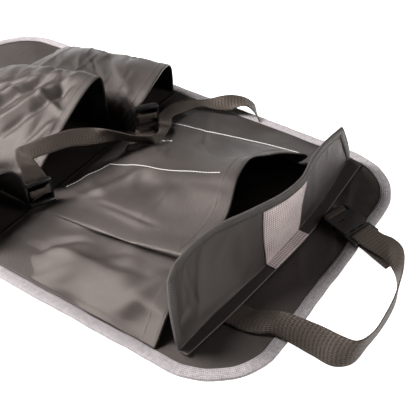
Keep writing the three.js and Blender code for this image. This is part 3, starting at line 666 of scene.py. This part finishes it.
def makePanel():
    inset = panel["tapeThickness"] + panel["clothInset"]
    end = panel["length"] / 2 - inset
    turn = np.linspace(-math.pi / 2, math.pi / 2, panel["rows"])
    y = mix(np.sin(turn), turn / (math.pi / 2), panel["rowSpread"]) * end
    across = np.linspace(-1, 1, panel["columns"])
    half = halfWidthAt(y, inset)
    grid = np.zeros((len(y), len(across), 3))
    grid[..., 0] = across[None, :] * half[:, None]
    grid[..., 1] = y[:, None]
    toEdge = np.minimum(half[:, None] - np.abs(grid[..., 0]), (end - np.abs(y))[:, None])
    inside = smooth((toEdge - panel["tapeWidth"] + 2) / panel["calmEdge"])
    u, v = grid[..., 0], grid[..., 1]
    beyondFlap = smooth((-235 - v) / 20) * smooth((u + 40) / 60)
    ripples = waves(u, v, 3, panel["waveLength"]) * 0.4
    ripples = ripples + creases(u, v, 8, panel["creaseLength"], panel["creases"], 35, 0.7)
    raised = panel["ripple"] * ripples * (1 + 1.4 * beyondFlap) + foldsOver(u, v, panel["folds"])
    middle = panel["thickness"] - panel["clothDrop"]
    grid[..., 2] = middle + np.clip(raised, panel["lowest"], panel["highest"]) * inside
    piece = addSheet("panelCloth", grid, panel["clothThickness"], fabric, ["back_panel"])


# Points round the panel's outline, with the direction in to the middle
def outline(inset, count=640):
    radius = panel["corner"] - inset
    straight = np.array([panel["width"] / 2 - inset - radius, panel["length"] / 2 - inset - radius])
    points = []
    for x, y, first in ((1, -1, -90), (1, 1, 0), (-1, 1, 90), (-1, -1, 180)):
        for angle in np.radians(np.linspace(first, first + 90, 40)):
            points.append(straight * (x, y) + radius * np.array([math.cos(angle), math.sin(angle)]))
    ring = evenly(np.array([*points, points[0]]), count + 1)[:-1]
    core = np.clip(ring, -straight, straight)
    return ring, unit(core - ring)


def makeEdgeTape():
    ring, inward = outline(panel["tapeThickness"] + panel["tapeInset"])
    run = np.arange(len(ring)) / len(ring)
    sway = 0.45 * np.sin(run * 2 * math.pi * 23) + 0.3 * np.sin(run * 2 * math.pi * 57 + 1)
    ring = ring + inward * np.clip(sway, -0.4, 1)[:, None] * 0.8
    thick = panel["tapeThickness"]
    points = np.column_stack([ring, np.full(len(ring), panel["tapeHeight"])])
    inward3 = np.column_stack([inward, np.zeros(len(ring))])
    up = np.tile([0.0, 0.0, 1.0], (len(ring), 1))
    section = tapeSection(panel["tapeGap"], thick, panel["tapeWidth"] - thick, 7)
    addSweep("edgeTape", points, inward3, up, section, True, edgeTape, ["edge_binding"])
    top = panel["tapeHeight"] + panel["tapeGap"] / 2 + thick
    rows = []
    for inset in (panel["outerStitch"], panel["tapeWidth"] - panel["innerStitch"]):
        line, _ = outline(inset, 900)
        rows.append(np.column_stack([np.vstack([line, line[:1]]), np.full(len(line) + 1, top)]))
    addStitches("edgeTapeStitches", rows, greyThread, radius=0.3)


makePanel()
makeEdgeTape()
print("panel and edge tape ready")

# Upper pocket: place runs across the sheet, share from the seam to the mouth
upper = {
    "rise": 67, "pleat": 120, "thickness": 1.0, "hemThickness": 1.9, "hemWidth": 20, "swell": 1.1,
    "rows": 120, "columns": 300, "smoothing": 12,
    "ripple": 1.9, "waveLength": 110, "creaseLength": 100, "creases": 30, "creaseLie": 60,
    "folds": [
        ((16.5, 0.95), (19, 0.45), 0.4, -1.5),
        ((12, 0.5), (14, 0.15), 0.3, 1.2),
        ((2, 0.95), (3.5, 0.5), 0.35, 2.2),
        ((1, 0.75), (3, 0.2), 0.4, -1.6),
        ((23, 0.9), (27, 0.3), 0.5, 1.5),
        ((0.8, 0.35), (4.2, 0.62), 0.06, 3.5),
        ((2.2, 0.15), (4.4, 0.4), 0.05, -3.0),
        ((1.4, 0.8), (4.2, 0.9), 0.05, 3.0),
        ((12.6, 0.2), (14.8, 0.42), 0.05, 2.2),
    ],
}
pocketSide = faceHalfWidth - 1
nearPleat, farPleat = -upper["pleat"], upper["pleat"] + 5
clothBase = panel["thickness"] + 0.3 + upper["thickness"] / 2
pocketSection = [
    (-pocketSide, 0), (-pocketSide + 7, 0.07), (-pocketSide + 24, 0.27), (nearPleat - 24, 0.36),
    (nearPleat - 4, 0.44), (nearPleat + 14, 0.5), (nearPleat + 21, 0.55), (nearPleat + 22, 0.6),
    (nearPleat + 18, 0.68), (nearPleat + 12, 0.76), (nearPleat + 12, 0.81), (nearPleat + 18, 0.83),
    (nearPleat + 42, 0.85), (-50, 0.89), (-18, 0.96), (12, 1), (40, 0.95), (62, 0.84), (84, 0.66),
    (farPleat - 22, 0.55), (farPleat - 6, 0.49), (farPleat, 0.46), (farPleat + 2, 0.42),
    (farPleat - 2, 0.35), (farPleat - 5, 0.29), (farPleat - 1, 0.24), (farPleat + 9, 0.2),
    (farPleat + 28, 0.13), (pocketSide - 10, 0.04), (pocketSide, 0),
]
mouthReach = [
    (-pocketSide, 3), (nearPleat + 12, 12), (-46, 12), (12, 33), (60, 42), (84, 40),
    (farPleat - 15, 28), (farPleat, 10), (pocketSide, 3),
]


def upperSurface(place, share):
    place, share = np.broadcast_arrays(place, share)
    table = np.array(pocketSection, float)
    scaled = table * (1, upper["rise"])
    lengths = arcLengths(scaled) / arcLengths(scaled)[-1]
    index = np.arange(len(table))
    fine = curveThrough(scaled, upper["smoothing"])
    fineIndex = np.linspace(0, len(table) - 1, len(fine))
    x = np.interp(place, fineIndex, fine[:, 0])
    rise = np.interp(place, fineIndex, fine[:, 1])
    evenX = (np.interp(place, index, lengths) * 2 - 1) * pocketSide
    spread = mix(evenX, x, np.minimum(1, 0.25 + share * 1.2))
    mouth = headEnd + panel["headMargin"] + profile(mouthReach, x)
    y = mix(divide, mouth, share)
    z = clothBase + rise * share ** upper["swell"]
    return np.stack([spread, y, z], -1)


def makeUpperPocket():
    scaled = np.array(pocketSection) * (1, upper["rise"])
    fine = curveThrough(scaled, upper["smoothing"])
    lengths = arcLengths(fine)
    finePlaces = np.linspace(0, len(scaled) - 1, len(fine))
    places = np.interp(np.linspace(0, lengths[-1], upper["columns"]), lengths, finePlaces)
    share = np.linspace(0, 1, upper["rows"])
    grid = upperSurface(places[None, :], share[:, None])
    p, s = np.meshgrid(places, share)
    u, v = grid[..., 0], grid[..., 1]
    loose = smooth(s / 0.12) * smooth((1.02 - s) / 0.1)
    top = smooth((p - 11) / 2) * smooth((20.5 - p) / 2)
    wing = smooth((6 - p) / 2)
    ripples = waves(u, v, 21, upper["waveLength"]) * 0.7
    creased = creases(u, v, 31, upper["creaseLength"], upper["creases"], upper["creaseLie"], 0.5)
    ripples = ripples + creased * 0.8
    amount = upper["ripple"] * ripples * (0.6 * top + wing + 0.5) * loose
    amount = amount + foldsOver(p, s, upper["folds"]) * loose
    sign = np.sign(gridNormals(grid)[grid.shape[0] // 2, len(places) // 2, 2])
    grid = lift(grid, amount * sign)
    grid[..., 2] = np.maximum(grid[..., 2], clothBase)
    hemStart = 1 - upper["hemWidth"] / panel["upperPocketLength"]
    hem = smooth((share - hemStart) / 0.012)
    thickness = mix(upper["thickness"], upper["hemThickness"], hem)[:, None]
    piece = addSheet("upperPocketCloth", grid, thickness, fabric, ["upper_pocket"])
    return grid, places, share, sign


upperGrid, upperPlaces, upperShares, upperSign = makeUpperPocket()


# Point on the finished cloth, lifted off its outer face
def onUpper(place, share, height):
    row = np.interp(share, upperShares, np.arange(len(upperShares)))
    column = np.interp(place, upperPlaces, np.arange(len(upperPlaces)))
    return onGrid(upperGrid, row, column, height * upperSign)


seams = {
    "upper_seam_middle": [(12.7, 0.05), (14.7, 0.15), (15.0, 0.88)],
    "upper_seam_far": [(20.4, 0.17), (20.4, 0.975)],
    "upper_seam_short": [(17.4, 0.23), (17.7, 0.36)],
}
seamThread = {"pitch": 4.2, "length": 4.4, "radius": 0.62, "height": 1.0, "steps": 60}
hemThread = {
    "shares": (0.985, 0.925), "height": 1.1, "footShare": 0.012, "footHeight": 0.7, "ends": (0.6, 28.4),
}


def makeUpperSeams():
    for node, stops in seams.items():
        path = evenly(stops, seamThread["steps"])
        if len(stops) > 2:
            spans = [evenly(stops[k : k + 2], seamThread["steps"] // 2)[:-1] for k in range(len(stops) - 1)]
            path = np.concatenate([*spans, [stops[-1]]])
        line = [onUpper(p, s, seamThread["height"]) for p, s in path]
        name = node.replace("_", "") + "Stitches"
        pitch, length, radius = seamThread["pitch"], seamThread["length"], seamThread["radius"]
        addStitches(name, [line], whiteThread, pitch, length, radius, [node])
    hemLines = []
    for s in hemThread["shares"]:
        hemLines.append([onUpper(p, s, hemThread["height"]) for p in np.linspace(*hemThread["ends"], 260)])
    footPlaces = np.linspace(*hemThread["ends"], 200)
    seamLine = [onUpper(p, hemThread["footShare"], hemThread["footHeight"]) for p in footPlaces]
    addStitches("upperHemStitches", [*hemLines, seamLine], darkThread)


makeUpperSeams()
print("upper pocket ready")

# Lower pockets, each a hood that is open at its mouth
hood = {
    "thickness": 1.0, "hemThickness": 1.9, "hemWidth": 13, "rows": 110, "columns": 150,
    "sideRound": 0.75, "footRound": 0.9, "waveLength": 90, "creaseLength": 70, "creases": 44,
    "stitchInset": 2.2, "stitchHeight": 1.1, "calmMouth": 30,
}
bottleInnerX = faceHalfWidth - 106
lowerPocketLength, bottleLength, pocketGap = 227, 190, 6
centreHeight, bottleHeight = 88, 55


def hoodGrid(nearX, farX, mouthY, footY, heightAt, bulge, farBulge):
    angle = np.linspace(0, math.pi, 900)
    across = (1 - np.sign(np.cos(angle)) * np.abs(np.cos(angle)) ** hood["sideRound"]) / 2
    rise = np.abs(np.sin(angle)) ** mix(bulge, farBulge, across)
    width, height = farX - nearX, float(heightAt(0.5, 0.0))
    section = evenly(np.column_stack([across * width, rise * height]), hood["columns"])
    across, rise = section[:, 0] / width, section[:, 1] / height
    turn = np.linspace(0, math.pi / 2, 600)
    reach = np.sin(turn) ** hood["footRound"] * (footY - divide)
    run = np.column_stack([reach, np.cos(turn) ** bulge * height])
    run = evenly(run, hood["rows"])
    along, endRise = run[:, 0] / (footY - divide), run[:, 1] / height
    a, l = across[None, :], along[:, None]
    grid = np.zeros((hood["rows"], hood["columns"], 3))
    grid[..., 0] = mix(nearX, farX, a)
    grid[..., 1] = mix(mouthY(a, rise[None, :]), footY, l)
    grid[..., 2] = clothBase + heightAt(a, l) * rise[None, :] * endRise[:, None]
    return grid, across, along


pockets = {
    "centre_pocket": {
        "name": "centrePocket",
        "nearX": -bottleInnerX + pocketGap, "farX": bottleInnerX - pocketGap, "bulge": 0.75,
        "footY": divide + lowerPocketLength, "seed": 61, "ripple": 2.1, "lie": -8, "farBulge": 0.16,
        "mouthY": lambda a, r: divide + 24 - r * mix(18, -6, a),
        "heightAt": lambda a, l: centreHeight * mix(mix(0.42, 1.03, a), mix(0.55, 0.62, a), l),
        "folds": [
            ((0.15, 0.35), (0.75, 0.14), 0.035, -7), ((0.2, 0.44), (0.8, 0.2), 0.03, 5),
            ((0.3, 0.55), (0.85, 0.3), 0.035, -5), ((0.32, 0.63), (0.85, 0.38), 0.03, 5),
            ((0.1, 0.15), (0.4, 0.07), 0.03, 4), ((0.55, 0.1), (0.95, 0.3), 0.03, -3),
            ((0.4, 0.78), (0.7, 0.5), 0.04, -5), ((0.5, 0.08), (0.62, 0.3), 0.03, 3.5),
        ],
    },
    "far_bottle_pocket": {
        "name": "farBottlePocket",
        "nearX": bottleInnerX - 1, "farX": pocketSide, "bulge": 0.35,
        "footY": divide + bottleLength, "seed": 71, "ripple": 1.7, "lie": 20, "farBulge": 0.35,
        "mouthY": lambda a, r: divide + 3 - r * mix(31, 0, a),
        "heightAt": lambda a, l: bottleHeight * mix(1, mix(0.75, 0.45, a), l),
        "folds": [
            ((0.2, 0.3), (0.8, 0.5), 0.06, -2), ((0.3, 0.6), (0.9, 0.75), 0.05, 2),
            ((0.1, 0.15), (0.5, 0.2), 0.05, 1.5),
        ],
    },
    "near_bottle_pocket": {
        "name": "nearBottlePocket",
        "nearX": -pocketSide, "farX": -bottleInnerX - 2.5 * pocketGap, "bulge": 0.45,
        "footY": divide + bottleLength, "seed": 81, "ripple": 1.8, "lie": -20, "farBulge": 0.45,
        "mouthY": lambda a, r: divide + 6 + r * 8,
        "heightAt": lambda a, l: bottleHeight * mix(1.1, 0.6, l),
        "folds": [((0.3, 0.2), (0.8, 0.5), 0.06, -2.5), ((0.2, 0.7), (0.7, 0.4), 0.05, 2)],
    },
}


def makeLowerPockets():
    for node, cut in pockets.items():
        shape = [cut[k] for k in ("nearX", "farX", "mouthY", "footY", "heightAt", "bulge", "farBulge")]
        grid, across, along = hoodGrid(*shape)
        a, l = np.meshgrid(across, along)
        uv = clothUV(grid)
        height = (grid[..., 2] - clothBase) / (grid[..., 2].max() - clothBase)
        loose = smooth(height / 0.25)
        u, v = uv[..., 0], uv[..., 1]
        ripples = waves(u, v, cut["seed"], hood["waveLength"]) * 0.7
        creased = creases(u, v, cut["seed"] + 1, hood["creaseLength"], hood["creases"], cut["lie"], 0.5)
        ripples = (ripples + 1.3 * creased) * smooth(v / hood["calmMouth"])
        amount = cut["ripple"] * ripples + foldsOver(a, l, cut["folds"])
        sign = np.sign(gridNormals(grid)[len(along) // 3, len(across) // 2, 2])
        grid = lift(grid, amount * loose * sign)
        grid[..., 2] = np.maximum(grid[..., 2], clothBase)
        hem = 1 - smooth((v - hood["hemWidth"]) / 1.5)
        thickness = mix(hood["thickness"], hood["hemThickness"], hem)
        piece = addSheet(cut["name"] + "Cloth", grid, thickness, fabric, [node])
        outer = lift(grid, np.full(grid.shape[:2], sign * hood["stitchHeight"]))
        columns = range(2, len(across) - 2)
        lines = []
        for distance in (hood["stitchInset"], hood["hemWidth"] - 1.5):
            lines.append([[np.interp(distance, v[:, j], outer[:, j, k]) for k in range(3)] for j in columns])
        addStitches(cut["name"] + "Stitches", lines, darkThread)


makeLowerPockets()
print("lower pockets ready")

# Lid flap: strip, crease and standing wall. Pairs are (x, distance from the head end).
lid = {
    "height": 83, "thickness": 1.6, "columns": 170, "rows": 60, "stripRows": 12,
    "tapeWidth": 10, "tapeThickness": 0.9, "tapeClearance": 0.25, "outerStitch": 1.6, "innerStitch": 2.0,
    "patchWidth": 66, "patchMiddle": 1, "patchThickness": 0.7, "patchClearance": 0.3, "patchColumns": 44,
    "foot": (-176, 181), "top": (-169, 128), "ripple": 1.2,
    "folds": [
        ((0.12, 0.15), (0.22, 0.9), 0.02, -1.5), ((0.32, 0.1), (0.36, 0.8), 0.02, 1.3),
        ((0.05, 0.3), (0.16, 0.05), 0.05, 1.4), ((0.7, 0.1), (0.78, 0.9), 0.02, 1.2),
    ],
    "seamLine": [(-180, 72), (-110, 64), (-35, 58), (29, 54), (100, 56), (180, 60)],
    "creaseLine": [(-175, 82), (-139, 81), (-34, 71), (38, 69), (87, 69), (180, 79)],
    "topLine": [
        (-169, 95), (-154, 101), (-130, 104), (-107, 103), (-89, 100), (-73, 95), (-53, 86), (-33, 78),
        (-11, 70), (8, 66), (30, 65), (56, 70), (72, 72), (94, 73), (128, 70),
    ],
}
lidBase = panel["thickness"] + 1.2 + 0.6 + lid["thickness"] / 2


# up runs from -1 at the seam to 0 at the crease and 1 at the top edge
def lidSurface(fraction, up):
    fraction, up = np.broadcast_arrays(fraction, up)
    above = np.maximum(up, 0)
    x = mix(mix(lid["foot"][0], lid["top"][0], above), mix(lid["foot"][1], lid["top"][1], above), fraction)
    crease, seam, top = (headEnd + profile(lid[k], x) for k in ("creaseLine", "seamLine", "topLine"))
    y = np.where(up < 0, mix(crease, seam, np.minimum(1, -up)), mix(crease, top, np.sin(above * math.pi / 2)))
    return np.stack([x, y, lidBase + above * lid["height"]], -1)


def makeLid():
    fractions = np.linspace(0, 1, lid["columns"])
    ups = np.concatenate([np.linspace(-1, -0.05, lid["stripRows"]), np.linspace(0.01, 1, lid["rows"])])
    grid = lidSurface(fractions[None, :], ups[:, None])
    f, up = np.meshgrid(fractions, ups)
    standing = smooth(up / 0.25)
    x, z = grid[..., 0], grid[..., 2]
    ripples = waves(x, z, 41, 120) + creases(x, z, 43, 60, 26, 75, 0.4) * 0.8
    away = -np.sign(gridNormals(grid)[-20, 80, 1])
    amount = (lid["ripple"] * ripples + foldsOver(f, up, lid["folds"])) * standing * away
    calm = smooth(np.minimum(f, 1 - f) / 0.04) * smooth((1 - up) / 0.2)
    grid = lift(grid, amount * calm)
    piece = addSheet("lidFlapCloth", grid, lid["thickness"], fabric, ["lid_flap"])
    return grid, fractions, ups, away


lidGrid, lidFractions, lidUps, lidAway = makeLid()


def onLid(fraction, up, height):
    row = np.interp(up, lidUps, np.arange(len(lidUps)))
    column = np.interp(fraction, lidFractions, np.arange(len(lidFractions)))
    return onGrid(lidGrid, row, column, height * lidAway)


def makeLidTape():
    sides = np.linspace(0.1, 0.98, 24)
    top = [(f, 1) for f in np.linspace(0, 1, 150)]
    path = [(0, up) for up in sides] + top + [(1, up) for up in sides[::-1]]
    points = np.array([onLid(f, up, 0) for f, up in path])
    normals = unit(np.array([onLid(f, up, 1) for f, up in path]) - points)
    tangents = unit(np.gradient(points, axis=0))
    inward = unit(np.cross(normals, tangents))
    middle = points.mean(0)
    if np.sum((middle - points[80]) * inward[80]) < 0:
        inward = -inward
    thick, clearance = lid["tapeThickness"], lid["tapeClearance"]
    section = tapeSection(lid["thickness"] + 2 * clearance, thick, lid["tapeWidth"] - thick, 7)
    addSweep("lidTape", points, inward, normals, section, False, flapTape, ["lid_flap_binding"])
    lines = []
    offset = lid["thickness"] / 2 + clearance + thick + 0.1
    for inset in (lid["outerStitch"], lid["tapeWidth"] - lid["innerStitch"]):
        for side in (-1, 1):
            lines.append(points[2:-2] + inward[2:-2] * inset + normals[2:-2] * offset * side)
    addStitches("lidTapeStitches", lines, darkThread, radius=0.3)


def makeLidPatch():
    half = lid["patchWidth"] / 2
    offset = lid["thickness"] / 2 + lid["patchClearance"] + lid["patchThickness"] / 2
    reach = 1 - (lid["tapeWidth"] - 1) / lid["height"]
    ups = np.concatenate([np.linspace(-1, -0.05, lid["stripRows"]), np.linspace(0.04, reach, 50)])
    rows = []
    for up in ups:
        above = max(up, 0)
        low, high = mix(lid["foot"][0], lid["top"][0], above), mix(lid["foot"][1], lid["top"][1], above)
        xs = np.linspace(lid["patchMiddle"] - half, lid["patchMiddle"] + half, lid["patchColumns"])
        rows.append([onLid((x - low) / (high - low), up, offset) for x in xs])
    grid = np.array(rows)
    piece = addSheet("lidPatchCloth", grid, lid["patchThickness"], patchWeave, ["lid_patch"])
    outer = lift(grid, np.full(grid.shape[:2], 0.4 * lidAway))
    edge = [outer[1:-1, 2], outer[1:-1, -3], outer[-2, 2:-2]]
    addStitches("lidPatchStitches", edge, greyThread, radius=0.28)


makeLidTape()
makeLidPatch()
print("lid flap ready")

# Webbing straps between two edge curves, as in the frame
webbingLook = {"thickness": 1.3, "steps": 8, "across": 9, "bow": 0.35}


def addStrap(name, edgeA, edgeB, held, restsOn, nodes, wave=0.4, seed=5):
    a, b = curveThrough(edgeA, webbingLook["steps"]), curveThrough(edgeB, webbingLook["steps"])
    t = np.linspace(0, 1, webbingLook["across"])
    grid = a[:, None] * (1 - t)[None, :, None] + b[:, None] * t[None, :, None]
    uv = clothUV(grid)
    bow = webbingLook["bow"] * np.sin(math.pi * t)[None, :]
    sway = wave * waves(uv[..., 1], uv[..., 0] * 0.3, seed, 45)
    calm = smooth(uv[..., 1] / 12) * smooth((uv[-1:, :, 1] - uv[..., 1]) / 12)
    grid = lift(grid, (sway + bow) * calm * 0.6)
    piece = addSheet(name, grid, webbingLook["thickness"], webbing, nodes, uv)
    return grid


buckle = {
    "angle": -18, "anchor": (78, 45), "base": 3.5, "height": 9, "width": 30, "bar": 3.2,
    "reach": 2.5, "plugStart": 33.4,
    "slot": 4, "low": -5.1,
}


def bucklePoint(along, across, up):
    c, s = math.cos(math.radians(buckle["angle"])), math.sin(math.radians(buckle["angle"]))
    x = buckle["anchor"][0] + along * s + across * c
    y = headEnd + buckle["anchor"][1] - along * c + across * s
    return (x, y, buckle["base"] + buckle["height"] / 2 + up)


loopFarEdge = [
    (70, 30, 15), (53, 46, 24), (20, 60, 28.5), (-10, 67, 29), (-42, 70, 28), (-72, 69, 27),
    (-86, 61, 25), (-88, 47, 24), (-88, 25, 24), (-90, 1, 24), (-90, -17, 21), (-89, -35, 9),
    (-90, -47, 3.6), (-91, -57, 2.9), (-92, -76, 2.9),
]
loopNearEdge = [
    (43, 32, 7), (38, 46, 1), (24, 56, 0.8), (-4, 66, 0.8), (-35, 68, 0.8), (-66, 66, 0.8),
    (-96, 62, 0.8), (-108, 49, 0.8), (-108, 25, 1.4), (-109, -1, 5), (-110, -19, 4.8), (-116, -29, 4.2),
    (-120, -41, 3.6), (-121, -57, 2.9), (-121, -76, 2.9),
]


def makeHeadrestStrap():
    reach, slotMiddle = buckle["reach"], buckle["plugStart"] + buckle["bar"] + buckle["slot"] / 2
    bar = buckle["plugStart"] + buckle["bar"] + buckle["slot"]
    turn = [
        (92, -reach - 2.5), (76, -reach - 1.5), (60, -reach), (bar + 6, -reach), (bar + 1, -reach),
        (slotMiddle + 0.6, -reach * 0.62), (slotMiddle, 0), (slotMiddle + 0.6, reach * 0.62),
        (bar + 1, reach), (bar + 6, reach), (58, reach + 0.5),
    ]
    edges = []
    for side, loop in ((1, loopFarEdge), (-1, loopNearEdge)):
        start = [bucklePoint(along, side * buckle["width"] / 2, up) for along, up in turn]
        edges.append(start + [(x, headEnd - past, z) for x, past, z in loop])
    restsOn = ["floor", "edgeTape"]
    addStrap("headrestStrapWebbing", *edges, "draped", restsOn, ["headrest_strap"], wave=0.5, seed=91)


def makeBuckleStrap():
    low, reach, slotMiddle = buckle["low"], buckle["reach"], buckle["bar"] + buckle["slot"] / 2
    stops = [
        (-24, low), (-16, low), (-10, low), (-6.5, low * 0.98), (-3, -reach * 1.6), (0, -reach * 1.1),
        (2.6, -reach), (slotMiddle - 0.35, -reach * 0.72), (slotMiddle, 0),
        (slotMiddle - 0.35, reach * 0.72), (2.6, reach), (-2, reach * 0.8), (-6.5, -reach * 0.5),
    ]
    edges = [[bucklePoint(along, side * buckle["width"] / 2, up) for along, up in stops] for side in (1, -1)]
    addStrap("buckleStrapWebbing", *edges, "folded", ["panelCloth"], ["buckle_strap"], wave=0.0)


sliderLook = {"width": 25, "reach": 1.3 + 0.3 + 0.6}
sliderWeave = [
    (15, -1.05), (11, -1), (9.4, -0.92), (5.5, 0), (1.6, 0.92), (0, 1), (-1.6, 0.92), (-5.5, 0),
    (-9.4, -0.92), (-11, -1), (-15, -1.05),
]


def weaveEdge(centre, upward, sideways, side):
    up = unit(np.array(upward, float))
    across = unit(np.array(sideways, float) - np.dot(sideways, up) * up)
    out = np.cross(across, up)
    centre = np.array(centre, float)
    edge = centre + across * side * sliderLook["width"] / 2
    return [tuple(edge + up * a + out * n * sliderLook["reach"]) for a, n in sliderWeave]


sideSlider = ((-88, divide - 6, 22), (5, 9, 36), (25, -11, 0))
bottleSlider = ((81, divide - 32.5, 37.5), (4, 3, 36), (20, -15, 0))
sideFarEdge = [
    (204, 118, 4.4), (213, 110, 8), (212, 99, 14), (206, 89, 18), (193, 76, 21), (180, 57, 15),
    (160, 32, 14), (132, 25, 19), (100, 33, 22.5), (78, 53, 25), (63, 58, 31), (49, 56, 36),
    (36, 47, 41), (26, 32, 47), (18, 20, 51), (11, 2, 50), (-12, -10, 57), (-38, -17, 61.5),
    (-64, -27, 62), (-80, -31, 62), (-90, -24, 58), (-94, -13, 52),
]
sideNearEdge = [
    (187, 134, 4.4), (192, 122, 13), (190, 111, 19), (186, 102, 17), (180, 93, 11), (172, 78, 11),
    (166, 56, 11), (141, 47, 14), (119, 44, 17.5), (99, 56, 20), (58, 62, 19.5), (57, 50, 19),
    (47, 36, 20), (38, 24, 24), (22, 20, 30), (-4, 12, 38), (-26, 0, 44), (-54, -6, 50), (-67, -10, 52),
    (-73, -11, 52), (-74, -8, 50), (-75, -3, 48),
]
tailNear = [(70, 22, 19), (60, 29, 17.5), (43, 31, 16.5), (34, 33, 14)]
tailFar = [(90, 38, 18), (79, 47, 19), (61, 50, 20), (42, 56, 15)]


def pastDivide(stops):
    return [(x, divide - past, z) for x, past, z in stops]


def makeSideStraps():
    farEdge = pastDivide(sideFarEdge) + weaveEdge(*sideSlider, -1)
    nearEdge = pastDivide(sideNearEdge) + weaveEdge(*sideSlider, 1)
    restsOn = ["centrePocketCloth", "upperPocketCloth"]
    addStrap("sideStrapWebbing", farEdge, nearEdge, "draped", restsOn, ["side_strap"], wave=0.5, seed=93)
    nearEdge = weaveEdge(*bottleSlider, -1) + pastDivide(tailNear)
    farEdge = weaveEdge(*bottleSlider, 1) + pastDivide(tailFar)
    restsOn = ["farBottlePocketCloth", "upperPocketCloth"]
    addStrap("bottleStrapWebbing", nearEdge, farEdge, "hung", restsOn, ["bottle_strap"], wave=0.2, seed=95)


makeHeadrestStrap()
makeBuckleStrap()
makeSideStraps()
print("straps ready")

# Moulded pieces keep the frame's shape and get rounded edges
mouldings = {
    "buckle_socket": ("buckleSocketMoulding", 0.8, matPlastic),
    "buckle_plug": ("bucklePlugMoulding", 0.5, matPlastic),
    "side_strap_slider": ("sideSliderMoulding", 0.55, glossPlastic),
    "bottle_strap_slider": ("bottleSliderMoulding", 0.55, glossPlastic),
}


def makeMouldings():
    for node, (name, radius, plastic) in mouldings.items():
        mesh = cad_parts[node].data.copy()
        mesh.materials.clear()
        shell = bmesh.new()
        shell.from_mesh(mesh)
        bmesh.ops.remove_doubles(shell, verts=shell.verts, dist=0.00002)
        bmesh.ops.dissolve_limit(shell, angle_limit=math.radians(2), verts=shell.verts, edges=shell.edges)
        bmesh.ops.recalc_face_normals(shell, faces=shell.faces)
        shell.to_mesh(mesh)
        shell.free()
        mesh.materials.append(plastic)
        piece = bpy.data.objects.new(name, mesh)
        bpy.context.scene.collection.objects.link(piece)
        bevel = piece.modifiers.new("roundedEdges", "BEVEL")
        bevel.width = radius * 0.001
        bevel.segments = 3
        bevel.limit_method = "ANGLE"
        bevel.angle_limit = math.radians(35)
        bevel.harden_normals = False
        mesh.polygons.foreach_set("use_smooth", [True] * len(mesh.polygons))
        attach(piece, "root")
        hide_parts(node)


makeMouldings()
print("mouldings ready")
